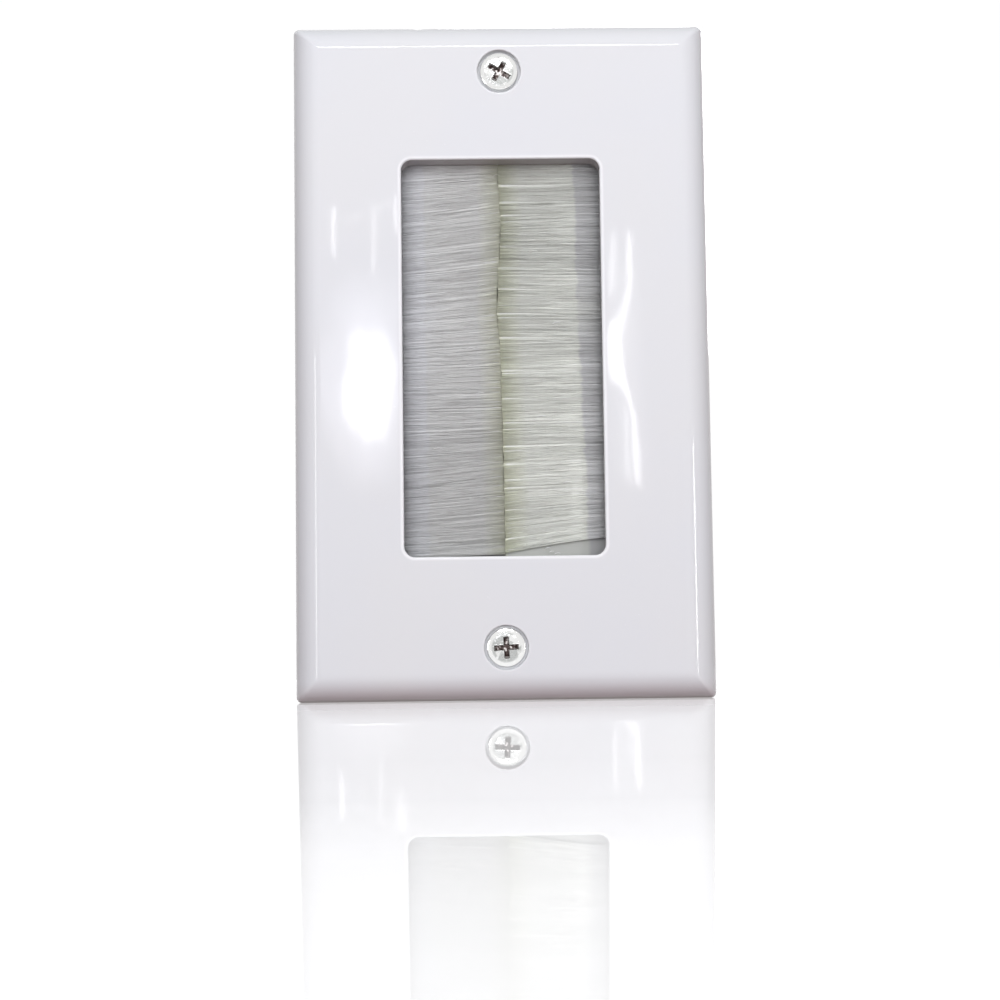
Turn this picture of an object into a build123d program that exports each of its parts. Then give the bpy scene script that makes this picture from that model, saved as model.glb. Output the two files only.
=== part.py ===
from build123d import *
import math
import os

# A one-gang wall plate whose window is closed by two curtains of bristles, in millimetres.
# X is to the right and Z is up, seen from the room. The wall is the plane Y = 0, the room is on the
# side of negative Y, and the origin is the middle of the plate on the wall.

# Cover plate
plate_width = 69.85
plate_height = 114.3
plate_depth = 5.6
plate_edge = 2.2           # straight side wall between the wall and the bevel
bevel_width = 4.0
bevel_bulge = 0.5          # how far the bevel swells out from its chord
bevel_run_on = 8.0         # degrees by which its arc runs on past the side wall
corner_radius = 1.8
face_wall = 2.2
rim_wall = 2.2             # width of the rim that rests on the wall
hollow_taper = 20.0        # degrees, so that the hollow's sides run under the bevel
hollow_radius = 1.2
window_width = 33.3
window_height = 66.7
window_radius = 1.8
window_rounding = 0.35
collar_wall = 0.9          # edge that carries the window's sides back to the bristles
collar_depth = 4.0         # of the window's sides, from the front face
plate_rib = 1.2
plate_rib_pitch = 21.0
plate_rib_gap = 0.5        # from the ribs' tips to the wall
plate_rib_setback = 1.0    # from the yoke's side to the ribs' inner ends

# Cover screws, number 6 by three eighths of an inch, and the inserts that take them
cover_screw_spacing = 96.8
cover_screw_length = 9.5
thread_radius = 1.753
screw_hole_gap = 0.25      # round a screw in a plain hole
recess_radius = 3.65
recess_depth = 1.4
screw_boss_radius = 3.1
screw_boss_height = 0.8    # behind the plate's front wall
insert_radius = 2.3
insert_gap = 0.02          # between an insert and its two neighbours
pan_head_radius = 3.2
pan_head_height = 1.4
head_rim_share = 0.45      # of a head's height, up to the rounded edge
head_round_share = 0.45    # of what is left, taken by the rounded edge
cross_reach = 3.5
cross_width = 0.75
cross_depth = 0.9

# Brush yoke
collar_gap = 0.3           # round the plate's collar, inside the yoke's opening
yoke_setback = 0.5         # from the inside of the plate's front wall to the yoke
yoke_width = 47.6
yoke_height = 76.6
yoke_corner = 2.0
yoke_back = 2.0            # depth of the yoke's back face behind the wall plane
ear_reach = 52.6
ear_width = 22.0
ear_corner = 3.5
ear_thickness = 1.4
ear_rib = 1.2
ear_rib_length = 10.0
box_screw_spacing = 83.3
box_slot_length = 6.4

# Brushes
channel_thickness = 4.0
channel_gauge = 0.5
channel_mouth = 2.8        # outside thickness at the pinched mouth
channel_pinch = 2.1        # length of the pinched part
mouth_setback = 0.2        # from the yoke's opening to the mouth
wire_setback = 0.6         # from the end of the pinched part to the wire
channel_bend = 0.7
channel_gap = 0.05         # between a channel and its trough, front and web
channel_end_gap = 0.15
wire_radius = 0.6
bristle_gap = 0.05         # between the bristles and the metal that grips them
seam_gap = 0.3             # between the two curtains
tip_thickness = 2.8
bristle_end_gap = 0.4      # above and below the curtains

# Rear retainer and its four self-tapping screws, number 2
retainer_thickness = 2.4
retainer_margin = 0.3      # how far its opening stands back from the yoke's
retainer_flare = 1.0       # chamfer that leads cables in from behind
tapping_radius = 1.1
tapping_length = 6.0
tapping_head_radius = 1.8
tapping_head_height = 1.2
tapping_gap = 0.03
pilot_past_screw = 0.2     # from a screw's point to the end of its hole
tapping_inset = 1.9        # from the yoke's top or bottom edge to the screw
tapping_side_inset = 3.2   # from the yoke's side edge to the screw

# Box screws, number 6 by one inch, and their washers
box_screw_length = 25.4
box_head_height = 1.6
neck_radius = 1.45
neck_past_washer = 0.2
washer_radius = 3.0
washer_thickness = 0.5
washer_gap = 0.05
screw_point = 0.5

# Reach within which an edge or a corner counts as lying at a place
near = 0.05

# Places that follow from the sizes above
face = -plate_depth
hollow_floor = face + face_wall
yoke_front = hollow_floor + yoke_setback
collar_back = face + collar_depth
boss_back = hollow_floor + screw_boss_height
head_seat = face + recess_depth
opening_half_width = window_width / 2 + collar_wall + collar_gap
opening_half_height = window_height / 2 + collar_wall + collar_gap
channel_mouth_x = opening_half_width + mouth_setback
wire_x = channel_mouth_x + channel_pinch + wire_setback
channel_web_x = wire_x + channel_thickness / 2
channel_front = yoke_back - channel_thickness
bulb_radius = channel_thickness / 2 - channel_gauge - bristle_gap
root_thickness = channel_mouth - 2 * (channel_gauge + bristle_gap)
curtain_middle = yoke_back - channel_thickness / 2
channel_half_length = opening_half_height - channel_end_gap
cover_screw_z = cover_screw_spacing / 2
box_screw_z = box_screw_spacing / 2
ear_front = -ear_thickness
slot_half_width = thread_radius + screw_hole_gap
tapping_x = yoke_width / 2 - tapping_side_inset
tapping_z = yoke_height / 2 - tapping_inset
retainer_back = yoke_back + retainer_thickness
pilot_end = retainer_back - tapping_length - pilot_past_screw


def slab(outline, front, back):
    """Solid with one outline, seen from the room, between two depths."""
    plane = Plane(origin=(0, back, 0), x_dir=(1, 0, 0), z_dir=(0, -1, 0))
    return extrude(plane * outline, amount=back - front)


def block(x0, x1, y0, y1, z0, z1):
    """Plain block between two corners."""
    return Pos((x0 + x1) / 2, (y0 + y1) / 2, (z0 + z1) / 2) * Box(x1 - x0, y1 - y0, z1 - z0)


def frame(outer, inner, front, back):
    """Ring between two outlines and two depths."""
    return slab(outer - inner, front, back)


def rod(radius, front, back, x=0.0, z=0.0):
    """Round bar along Y."""
    return slab(Pos(x, z) * Circle(radius), front, back)


def crowned_section(half_width):
    """Section across the plate: two swollen bevels and a flat front.

    Each bevel is an arc through the top of the side wall and the edge of the flat front. It runs on
    past the side wall, so that the rounded outline trims it there.
    """
    side = Vector(half_width, -plate_edge)
    crest = Vector(half_width - bevel_width, face)
    chord = side - crest
    radius = chord.length**2 / (8 * bevel_bulge) + bevel_bulge / 2
    outward = Vector(-chord.Y, chord.X).normalized() * -1
    centre = (side + crest) * 0.5 - outward * (radius - bevel_bulge)
    crest_angle = math.degrees(math.atan2(crest.Y - centre.Y, crest.X - centre.X))
    side_angle = math.degrees(math.atan2(side.Y - centre.Y, side.X - centre.X))
    bevel = CenterArc(centre, radius, crest_angle, side_angle + bevel_run_on - crest_angle)
    end = bevel @ 1
    half = Curve() + [
        Line((0, 0), (end.X, 0)),
        Line((end.X, 0), end),
        bevel,
        Line(crest, (0, face)),
    ]
    return make_face(half + mirror(half, about=Plane.YZ))


def cover_plate():
    """Moulded plate: two crowned bars crossed, so that the bevels meet in mitres, then hollowed."""
    upright = extrude(crowned_section(plate_width / 2), amount=plate_height, both=True)
    lying_plane = Plane(origin=(0, 0, 0), x_dir=(0, 0, 1), z_dir=(-1, 0, 0))
    lying = extrude(lying_plane * crowned_section(plate_height / 2), amount=plate_width, both=True)
    plate = upright & lying & slab(RectangleRounded(plate_width, plate_height, corner_radius), face, 0)

    hollow = RectangleRounded(plate_width - 2 * rim_wall, plate_height - 2 * rim_wall, hollow_radius)
    wall_plane = Plane(origin=(0, 0, 0), x_dir=(1, 0, 0), z_dir=(0, -1, 0))
    plate -= extrude(wall_plane * hollow, amount=-hollow_floor, taper=hollow_taper)

    collar = RectangleRounded(
        window_width + 2 * collar_wall, window_height + 2 * collar_wall, window_radius + collar_wall
    )
    plate += slab(collar, hollow_floor, collar_back)
    plate += plate_ribs()
    for side in (-1, 1):
        z = side * cover_screw_z
        plate += rod(screw_boss_radius, hollow_floor, boss_back, z=z)
        low, high = sorted((z, side * plate_height / 2))
        gusset = block(-plate_rib / 2, plate_rib / 2, hollow_floor, boss_back, low, high)
        plate += gusset & hollow_core()

    window = RectangleRounded(window_width, window_height, window_radius)
    plate -= slab(window, face, collar_back)
    rim_edges = plate.edges().filter_by_position(Axis.Y, face - near, face + near)
    window_edges = [edge for edge in rim_edges if on_window(edge)]
    plate = fillet(window_edges, window_rounding)
    for z in (-cover_screw_z, cover_screw_z):
        plate -= rod(recess_radius, face, head_seat, z=z)
        plate -= rod(thread_radius + screw_hole_gap, head_seat, boss_back, z=z)
    return plate


def on_window(edge):
    """Whether an edge of the front face runs round the window."""
    middle = edge @ 0.5
    return abs(middle.X) < window_width / 2 + near and abs(middle.Z) < window_height / 2 + near


def plate_ribs():
    """Stiffening ribs in the hollow, on both sides of the yoke."""
    inner = yoke_width / 2 + plate_rib_setback
    outer = plate_width / 2
    ribs = Part()
    for side in (-1, 1):
        for row in (-1, 0, 1):
            low, high = sorted((side * inner, side * outer))
            z = row * plate_rib_pitch
            ribs += block(low, high, hollow_floor, -plate_rib_gap, z - plate_rib / 2, z + plate_rib / 2)
    return ribs & hollow_core()


def hollow_core():
    """Space just inside the plate's outer walls, which trims what stands in the hollow."""
    outline = RectangleRounded(plate_width - rim_wall, plate_height - rim_wall, hollow_radius)
    wall_plane = Plane(origin=(0, 0, 0), x_dir=(1, 0, 0), z_dir=(0, -1, 0))
    return extrude(wall_plane * outline, amount=-hollow_floor, taper=hollow_taper)


def screw(head_radius, head_height, seat, towards_room, shank):
    """Pan screw on the Y axis with a cross recess, whose head stands on its seat.

    The head's side is straight up to the rim, then rounded, then a shallow dome. The shank is a list
    of (radius, length) steps from the head on.
    """
    rim = head_height * head_rim_share
    crown = head_height - rim
    dome_edge = head_radius - crown * head_round_share
    dome_rise = crown * (1 - head_round_share)
    dome_radius = (dome_edge**2 + dome_rise**2) / (2 * dome_rise)
    middle = dome_edge / 2
    middle_height = head_height - dome_radius + math.sqrt(dome_radius**2 - middle**2)
    outline = [(dome_edge, head_height - dome_rise), (head_radius, rim), (head_radius, 0)]
    depth = 0.0
    for radius, length in shank[:-1]:
        outline += [(radius, depth), (radius, depth - length)]
        depth -= length
    radius, length = shank[-1]
    outline += [(radius, depth), (radius, depth - length + screw_point)]
    outline += [(radius - screw_point, depth - length), (0, depth - length), (0, head_height)]
    dome = ThreePointArc((0, head_height), (middle, middle_height), outline[0])
    solid = revolve(make_face(Polyline(*outline) + dome), Axis.Y)

    share = head_radius / pan_head_radius
    floor = head_height - cross_depth * share
    for length, width in ((cross_reach, cross_width), (cross_width, cross_reach)):
        half_length, half_width = length * share / 2, width * share / 2
        solid -= block(-half_length, half_length, floor, 2 * head_height, -half_width, half_width)
    if towards_room:
        solid = solid.mirror(Plane.XZ)
    return Pos(0, seat, 0) * solid


def cover_screw(side):
    """Screw that is seen in one of the plate's recesses."""
    shank = [(thread_radius, cover_screw_length)]
    solid = screw(pan_head_radius, pan_head_height, head_seat, True, shank)
    return Pos(0, 0, side * cover_screw_z) * solid


def thread_insert(side):
    """Brass insert in the yoke's boss, under a cover screw."""
    outline = Circle(insert_radius) - Circle(thread_radius + insert_gap)
    return Pos(0, 0, side * cover_screw_z) * slab(outline, boss_back, 0)


def brush_yoke():
    """Moulded strap: a deep frame with a trough on each side, and an ear above and below."""
    outline = RectangleRounded(yoke_width, yoke_height, yoke_corner)
    opening = Rectangle(2 * opening_half_width, 2 * opening_half_height)
    yoke = frame(outline, opening, yoke_front, yoke_back)
    for side in (-1, 1):
        yoke += ear(side)
    trough = Rectangle(2 * (channel_web_x + channel_gap), 2 * opening_half_height)
    yoke -= slab(trough, channel_front - channel_gap, yoke_back)
    for x in (-tapping_x, tapping_x):
        for z in (-tapping_z, tapping_z):
            yoke -= rod(tapping_radius + tapping_gap, pilot_end, yoke_back, x, z)
    return yoke


def ear(side):
    """One ear, with its ribs, its box screw slot and the boss that holds the insert."""
    root = yoke_height / 2 - yoke_corner
    middle = (root + ear_reach) / 2
    outline = Pos(0, side * middle) * RectangleRounded(ear_width, ear_reach - root, ear_corner)
    outline += Pos(0, side * (root + ear_corner)) * Rectangle(ear_width, 2 * ear_corner)
    piece = slab(outline, ear_front, 0)
    for x in (-1, 1):
        low, high = sorted((x * (ear_width / 2 - ear_rib), x * ear_width / 2))
        z0, z1 = sorted((side * root, side * (root + ear_rib_length)))
        piece += block(low, high, boss_back, ear_front, z0, z1)
    piece += rod(screw_boss_radius, boss_back, ear_front, z=side * cover_screw_z)
    piece -= rod(insert_radius + insert_gap, boss_back, 0, z=side * cover_screw_z)
    slot = Pos(0, side * box_screw_z) * SlotOverall(box_slot_length, 2 * slot_half_width)
    return piece - slab(slot, ear_front, 0)


def channel_section():
    """Folded section of the right channel: a web, two flat arms and a pinched mouth."""
    half = channel_thickness / 2
    inside = half - channel_gauge
    mouth = channel_mouth / 2
    pinch_x = channel_mouth_x + channel_pinch
    outline = [
        (channel_web_x, half),
        (pinch_x, half),
        (channel_mouth_x, mouth),
        (channel_mouth_x, mouth - channel_gauge),
        (pinch_x, inside),
        (channel_web_x - channel_gauge, inside),
    ]
    section = make_face(Polyline(*outline, *[(x, -y) for x, y in reversed(outline)], close=True))
    web_corners = section.vertices().filter_by_position(Axis.X, channel_web_x - near, channel_web_x + near)
    section = fillet(web_corners, channel_bend)
    inner_x = channel_web_x - channel_gauge
    inner_corners = section.vertices().filter_by_position(Axis.X, inner_x - near, inner_x + near)
    return fillet(inner_corners, channel_bend - channel_gauge)


def upright_bar(section, half_length):
    """Section on the plan plane, drawn up and down from the middle and set at the curtains' depth."""
    return Pos(0, curtain_middle, 0) * extrude(section, amount=half_length, both=True)


def on_side(solid, side):
    """The right-hand solid, or its mirror image on the left."""
    return solid if side > 0 else solid.mirror(Plane.YZ)


def brush_channel(side):
    """Steel channel that grips the roots of one curtain."""
    return on_side(upright_bar(channel_section(), channel_half_length), side)


def core_wire(side):
    """Wire inside the channel, which the bristles are folded round."""
    section = Pos(wire_x, 0) * Circle(wire_radius)
    return on_side(upright_bar(section, channel_half_length), side)


def bristles(side):
    """One curtain as a plain solid: a bulb round the wire, a gripped neck and a fan to the seam."""
    half_root = root_thickness / 2
    half_tip = tip_thickness / 2
    tip_x = seam_gap / 2
    neck_x = channel_mouth_x + channel_gauge
    fan = [
        (wire_x, half_root),
        (neck_x, half_root),
        (tip_x, half_tip),
    ]
    section = make_face(Polyline(*fan, *[(x, -y) for x, y in reversed(fan)], close=True))
    section += Pos(wire_x, 0) * Circle(bulb_radius)
    section -= Pos(wire_x, 0) * Circle(wire_radius + bristle_gap / 2)
    return on_side(upright_bar(section, opening_half_height - bristle_end_gap), side)


def rear_retainer():
    """Frame that closes the troughs from behind, with a flared opening for the cables."""
    outline = RectangleRounded(yoke_width, yoke_height, yoke_corner)
    half_width = opening_half_width + retainer_margin
    half_height = opening_half_height + retainer_margin
    piece = frame(outline, Rectangle(2 * half_width, 2 * half_height), yoke_back, retainer_back)
    back_edges = piece.edges().filter_by_position(Axis.Y, retainer_back - near, retainer_back + near)
    mouth = [edge for edge in back_edges if abs((edge @ 0.5).X) < half_width + near]
    mouth = [edge for edge in mouth if abs((edge @ 0.5).Z) < half_height + near]
    piece = chamfer(mouth, retainer_flare)
    for x in (-tapping_x, tapping_x):
        for z in (-tapping_z, tapping_z):
            piece -= rod(tapping_radius + tapping_gap, yoke_back, retainer_back, x, z)
    return piece


def retainer_screw(x_side, z_side):
    """Self-tapping screw from behind, through the retainer into the yoke."""
    shank = [(tapping_radius, tapping_length)]
    solid = screw(tapping_head_radius, tapping_head_height, retainer_back, False, shank)
    return Pos(x_side * tapping_x, 0, z_side * tapping_z) * solid


def box_screw(side):
    """Long screw to the wall box, with a neck that keeps its washer on."""
    neck = ear_thickness + washer_thickness + neck_past_washer
    shank = [(neck_radius, neck), (thread_radius, box_screw_length - neck)]
    solid = screw(pan_head_radius, box_head_height, ear_front, True, shank)
    return Pos(0, 0, side * box_screw_z) * solid


def screw_washer(side):
    """Fibre washer behind the ear, held captive by the screw's thread."""
    outline = Circle(washer_radius) - Circle(neck_radius + washer_gap)
    return Pos(0, 0, side * box_screw_z) * slab(outline, 0, washer_thickness)


parts = {
    "cover_plate": cover_plate(),
    "brush_yoke": brush_yoke(),
    "rear_retainer": rear_retainer(),
}
for name, side in (("upper", 1), ("lower", -1)):
    parts[name + "_cover_screw"] = cover_screw(side)
    parts[name + "_thread_insert"] = thread_insert(side)
    parts[name + "_box_screw"] = box_screw(side)
    parts[name + "_screw_washer"] = screw_washer(side)
    for x_name, x_side in (("left", -1), ("right", 1)):
        parts[name + "_" + x_name + "_retainer_screw"] = retainer_screw(x_side, side)
for name, side in (("left", -1), ("right", 1)):
    parts[name + "_brush_channel"] = brush_channel(side)
    parts[name + "_core_wire"] = core_wire(side)
    parts[name + "_bristles"] = bristles(side)

os.makedirs("parts", exist_ok=True)
for name, solid in parts.items():
    export_step(solid, "parts/" + name + ".step")
    print(name, round(solid.volume, 1))
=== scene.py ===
import logging
import math
from collections.abc import Mapping, Sequence
from dataclasses import dataclass
from enum import Enum
from typing import Any

import bmesh
import bpy
import numpy as np
from mathutils import Matrix, Vector
from mathutils.geometry import tessellate_polygon


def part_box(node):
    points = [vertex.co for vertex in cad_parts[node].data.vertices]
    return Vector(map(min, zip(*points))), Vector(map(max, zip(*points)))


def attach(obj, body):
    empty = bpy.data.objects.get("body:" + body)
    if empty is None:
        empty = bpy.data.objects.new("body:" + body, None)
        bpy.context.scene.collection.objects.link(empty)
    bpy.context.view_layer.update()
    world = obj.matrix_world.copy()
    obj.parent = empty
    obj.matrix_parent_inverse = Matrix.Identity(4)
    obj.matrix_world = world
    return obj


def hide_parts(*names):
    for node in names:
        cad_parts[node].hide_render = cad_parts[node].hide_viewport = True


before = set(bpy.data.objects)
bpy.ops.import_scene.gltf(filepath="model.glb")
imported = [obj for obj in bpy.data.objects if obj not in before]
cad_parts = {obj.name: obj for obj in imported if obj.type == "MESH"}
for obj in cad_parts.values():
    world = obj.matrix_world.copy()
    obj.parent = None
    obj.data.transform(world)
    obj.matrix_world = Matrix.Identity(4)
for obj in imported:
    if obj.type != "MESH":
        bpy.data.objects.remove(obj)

MM = 0.001
SEED = 20
LOG = logging.getLogger("brush_wall_plate")
Colour = tuple[float, float, float]


class Side(Enum):
    """Which curtain of bristles a piece belongs to, with its direction along X."""

    LEFT = -1
    RIGHT = 1


class Level(Enum):
    """Which end of the plate a piece belongs to, with its direction along Z."""

    UPPER = 1
    LOWER = -1


# Curves and surfaces

def smooth_step(low: float, high: float, value: np.ndarray) -> np.ndarray:
    """Rise from 0 at low to 1 at high with level ends: 3t^2 - 2t^3.

    Args:
        low: Value at which the rise starts. It may be the larger one, for a fall.
        high: Value at which the rise ends.
        value: Where to read it.

    Returns:
        The share, from 0 to 1, in the shape of value.
    """
    share = np.clip((value - low) / (high - low), 0.0, 1.0)
    return share * share * (3.0 - 2.0 * share)


def rounded_profile(corners: Sequence[tuple[float, float, float]], steps: int) -> np.ndarray:
    """Open profile whose corners are arcs.

    Each corner is (across, depth, radius). The arc starts where a circle of that radius touches the
    side before the corner and ends where it touches the side after it, and its points are the
    centre plus the radius times a direction that turns evenly from one touch to the other.

    Args:
        corners: The corners in order, the two ends included.
        steps: Points in each arc, less one.

    Returns:
        Points of the profile, one row each.
    """
    points = [np.array([corners[0][:2]])]
    for before, here, after in zip(corners, corners[1:], corners[2:]):
        corner = np.array(here[:2])
        back = np.array(before[:2]) - corner
        ahead = np.array(after[:2]) - corner
        back /= np.linalg.norm(back)
        ahead /= np.linalg.norm(ahead)
        half = math.acos(float(np.clip(back @ ahead, -1.0, 1.0))) / 2
        radius = here[2]
        if radius == 0.0:
            points.append(corner[None])
            continue
        middle = back + ahead
        centre = corner + middle / np.linalg.norm(middle) * radius / math.sin(half)
        start = (corner + back * radius / math.tan(half) - centre) / radius
        end = (corner + ahead * radius / math.tan(half) - centre) / radius
        turn = math.pi - 2 * half
        share = np.linspace(0.0, 1.0, steps + 1)[:, None]
        direction = (np.sin((1 - share) * turn) * start + np.sin(share * turn) * end) / math.sin(turn)
        points.append(centre + radius * direction)
    points.append(np.array([corners[-1][:2]]))
    return np.concatenate(points)


def rounded_rectangle(
    half_x: float, half_z: float, radius: float, sides: tuple[int, int], steps: int
) -> np.ndarray:
    """Closed outline, anticlockwise seen from the room, that starts at the right of its top side.

    A quarter arc stands at each corner, and each straight side is divided evenly, so that outlines
    with the same counts match point for point.

    Args:
        half_x: Half of its width.
        half_z: Half of its height.
        radius: Radius of its corners.
        sides: Divisions of a level side and of an upright one.
        steps: Divisions of each arc.

    Returns:
        Points (x, z), one row each.
    """
    angles = np.linspace(0.0, math.pi / 2, steps + 1)
    loop = []
    for turn, x_sign, z_sign in ((0, 1, 1), (1, -1, 1), (2, -1, -1), (3, 1, -1)):
        centre = np.array([x_sign * (half_x - radius), z_sign * (half_z - radius)])
        bearing = angles + turn * math.pi / 2
        arc = centre + radius * np.stack([np.cos(bearing), np.sin(bearing)], axis=1)
        loop.append(arc)
    outline = []
    for turn, arc in enumerate(loop):
        count = sides[turn % 2]
        after = loop[(turn + 1) % 4][0]
        share = np.linspace(0.0, 1.0, count + 1)[1:-1, None]
        outline += [arc, arc[-1] + (after - arc[-1]) * share]
    return np.concatenate(outline)


def circle(radius: float, x: float, z: float, count: int) -> np.ndarray:
    """Closed circle of (x, z) points: the centre plus the radius times cosine and sine."""
    angle = np.arange(count) * 2 * math.pi / count
    return np.stack([x + radius * np.cos(angle), z + radius * np.sin(angle)], axis=1)


def at_depth(outline: np.ndarray, depth: float) -> np.ndarray:
    """The (x, z) outline as points at one depth along Y."""
    return np.stack([outline[:, 0], np.full(len(outline), depth), outline[:, 1]], axis=1)


class Shell:
    """Patches of one piece, which are welded into one closed mesh."""

    def __init__(self, name: str) -> None:
        """Starts an empty piece with that name."""
        self.name = name
        self.points: list[np.ndarray] = []
        self.faces: list[np.ndarray] = []
        self.marks: list[np.ndarray] = []
        self.count = 0

    def add(self, points: np.ndarray, faces: Sequence[np.ndarray], mark: np.ndarray | float = 0.0) -> None:
        """Adds points and the faces between them.

        Args:
            points: One row each.
            faces: Arrays of indices into points, one row a face.
            mark: Value of the piece's mark at each point.
        """
        self.points.append(points)
        self.faces += [face + self.count for face in faces]
        self.marks.append(np.broadcast_to(np.asarray(mark, float), (len(points),)))
        self.count += len(points)

    def patch(self, grid: np.ndarray, mark: np.ndarray | float = 0.0) -> None:
        """Adds a grid of points whose neighbours become four-sided faces, closed round each row.

        Args:
            grid: Points (row, column, 3), whose last column joins the first one.
            mark: Value of the piece's mark at each point, or for each row as a column.
        """
        rows, columns = grid.shape[:2]
        index = np.arange(rows * columns).reshape(rows, columns)
        across = np.roll(index, -1, axis=1)
        quads = np.stack([index[:-1], across[:-1], across[1:], index[1:]], axis=-1).reshape(-1, 4)
        marks = np.broadcast_to(np.asarray(mark, float), (rows, columns)).reshape(-1)
        self.add(grid.reshape(-1, 3), [quads], marks)

    def fill(self, loops: Sequence[np.ndarray]) -> None:
        """Adds a flat face bounded by the first loop, with the other loops as its holes."""
        points = np.concatenate(loops)
        corners = tessellate_polygon([[Vector(point) for point in loop] for loop in loops])
        self.add(points, [np.array(corners)])

    def build(self, weld: float = 1e-7, sharp: float = 40.0, weighted: bool = True) -> bpy.types.Object:
        """Makes the mesh, welds its seams, turns its faces outwards and smooths its shading.

        Args:
            weld: Distance within which points are one.
            sharp: Angle in degrees above which an edge stays crisp.
            weighted: Whether large faces decide the shading beside them.

        Returns:
            The new object, at the origin.
        """
        sizes = np.concatenate([np.full(len(face), face.shape[1]) for face in self.faces])
        mesh = bpy.data.meshes.new(self.name)
        mesh.vertices.add(self.count)
        mesh.vertices.foreach_set("co", np.concatenate(self.points).astype(np.float32).ravel())
        mesh.loops.add(int(sizes.sum()))
        corners = np.concatenate([face.ravel() for face in self.faces]).astype(np.int32)
        mesh.loops.foreach_set("vertex_index", corners)
        mesh.polygons.add(len(sizes))
        mesh.polygons.foreach_set("loop_start", (np.cumsum(sizes) - sizes).astype(np.int32))
        mesh.update(calc_edges=True)
        mark = mesh.attributes.new("mark", "FLOAT", "POINT")
        mark.data.foreach_set("value", np.concatenate(self.marks).astype(np.float32))
        if weld > 0:
            welded = bmesh.new()
            welded.from_mesh(mesh)
            bmesh.ops.remove_doubles(welded, verts=welded.verts, dist=weld)
            bmesh.ops.dissolve_degenerate(welded, edges=welded.edges, dist=weld)
            bmesh.ops.recalc_face_normals(welded, faces=welded.faces)
            welded.to_mesh(mesh)
            welded.free()
        mesh.validate()
        mesh.polygons.foreach_set("use_smooth", np.ones(len(mesh.polygons), bool))
        mesh.set_sharp_from_angle(angle=math.radians(sharp))
        piece = bpy.data.objects.new(self.name, mesh)
        bpy.context.scene.collection.objects.link(piece)
        if weighted:
            shading = piece.modifiers.new("weighted_normals", "WEIGHTED_NORMAL")
            shading.keep_sharp = True
        return piece


# Shader maths

class Flow:
    """One socket of a material, with the usual operators."""

    def __init__(self, recipe: "Recipe", socket: bpy.types.NodeSocket) -> None:
        """Wraps a socket of that recipe."""
        self.recipe = recipe
        self.socket = socket

    def wide(self) -> bool:
        """Whether it carries a vector or a colour."""
        return self.socket.type in ("VECTOR", "RGBA")

    def join(self, operation: str, first: Any, second: Any) -> "Flow":
        """One Math node, or a Vector Math node where a side is a vector.

        Args:
            operation: The node's operation.
            first: Flow, number or vector.
            second: Flow, number or vector.

        Returns:
            The node's result.
        """
        wide = any(isinstance(side, Flow) and side.wide() for side in (first, second))
        kind = "ShaderNodeVectorMath" if wide else "ShaderNodeMath"
        if wide:
            first, second = (
                (side,) * 3 if isinstance(side, (int, float)) else side for side in (first, second)
            )
        node = self.recipe.node(kind, {"operation": operation}, {0: first, 1: second})
        return Flow(self.recipe, node.outputs[0])

    def __add__(self, other: Any) -> "Flow":
        """Sum."""
        return self.join("ADD", self, other)

    def __radd__(self, other: Any) -> "Flow":
        """Sum, reflected."""
        return self.join("ADD", other, self)

    def __sub__(self, other: Any) -> "Flow":
        """Difference."""
        return self.join("SUBTRACT", self, other)

    def __rsub__(self, other: Any) -> "Flow":
        """Difference, reflected."""
        return self.join("SUBTRACT", other, self)

    def __mul__(self, other: Any) -> "Flow":
        """Product."""
        return self.join("MULTIPLY", self, other)

    def __rmul__(self, other: Any) -> "Flow":
        """Product, reflected."""
        return self.join("MULTIPLY", other, self)

    def __pow__(self, other: Any) -> "Flow":
        """Power."""
        return self.join("POWER", self, other)

    def __abs__(self) -> "Flow":
        """Size without its sign."""
        return self.join("ABSOLUTE", self, 0.0)

    def most(self, other: Any) -> "Flow":
        """The larger of the two."""
        return self.join("MAXIMUM", self, other)


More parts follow.
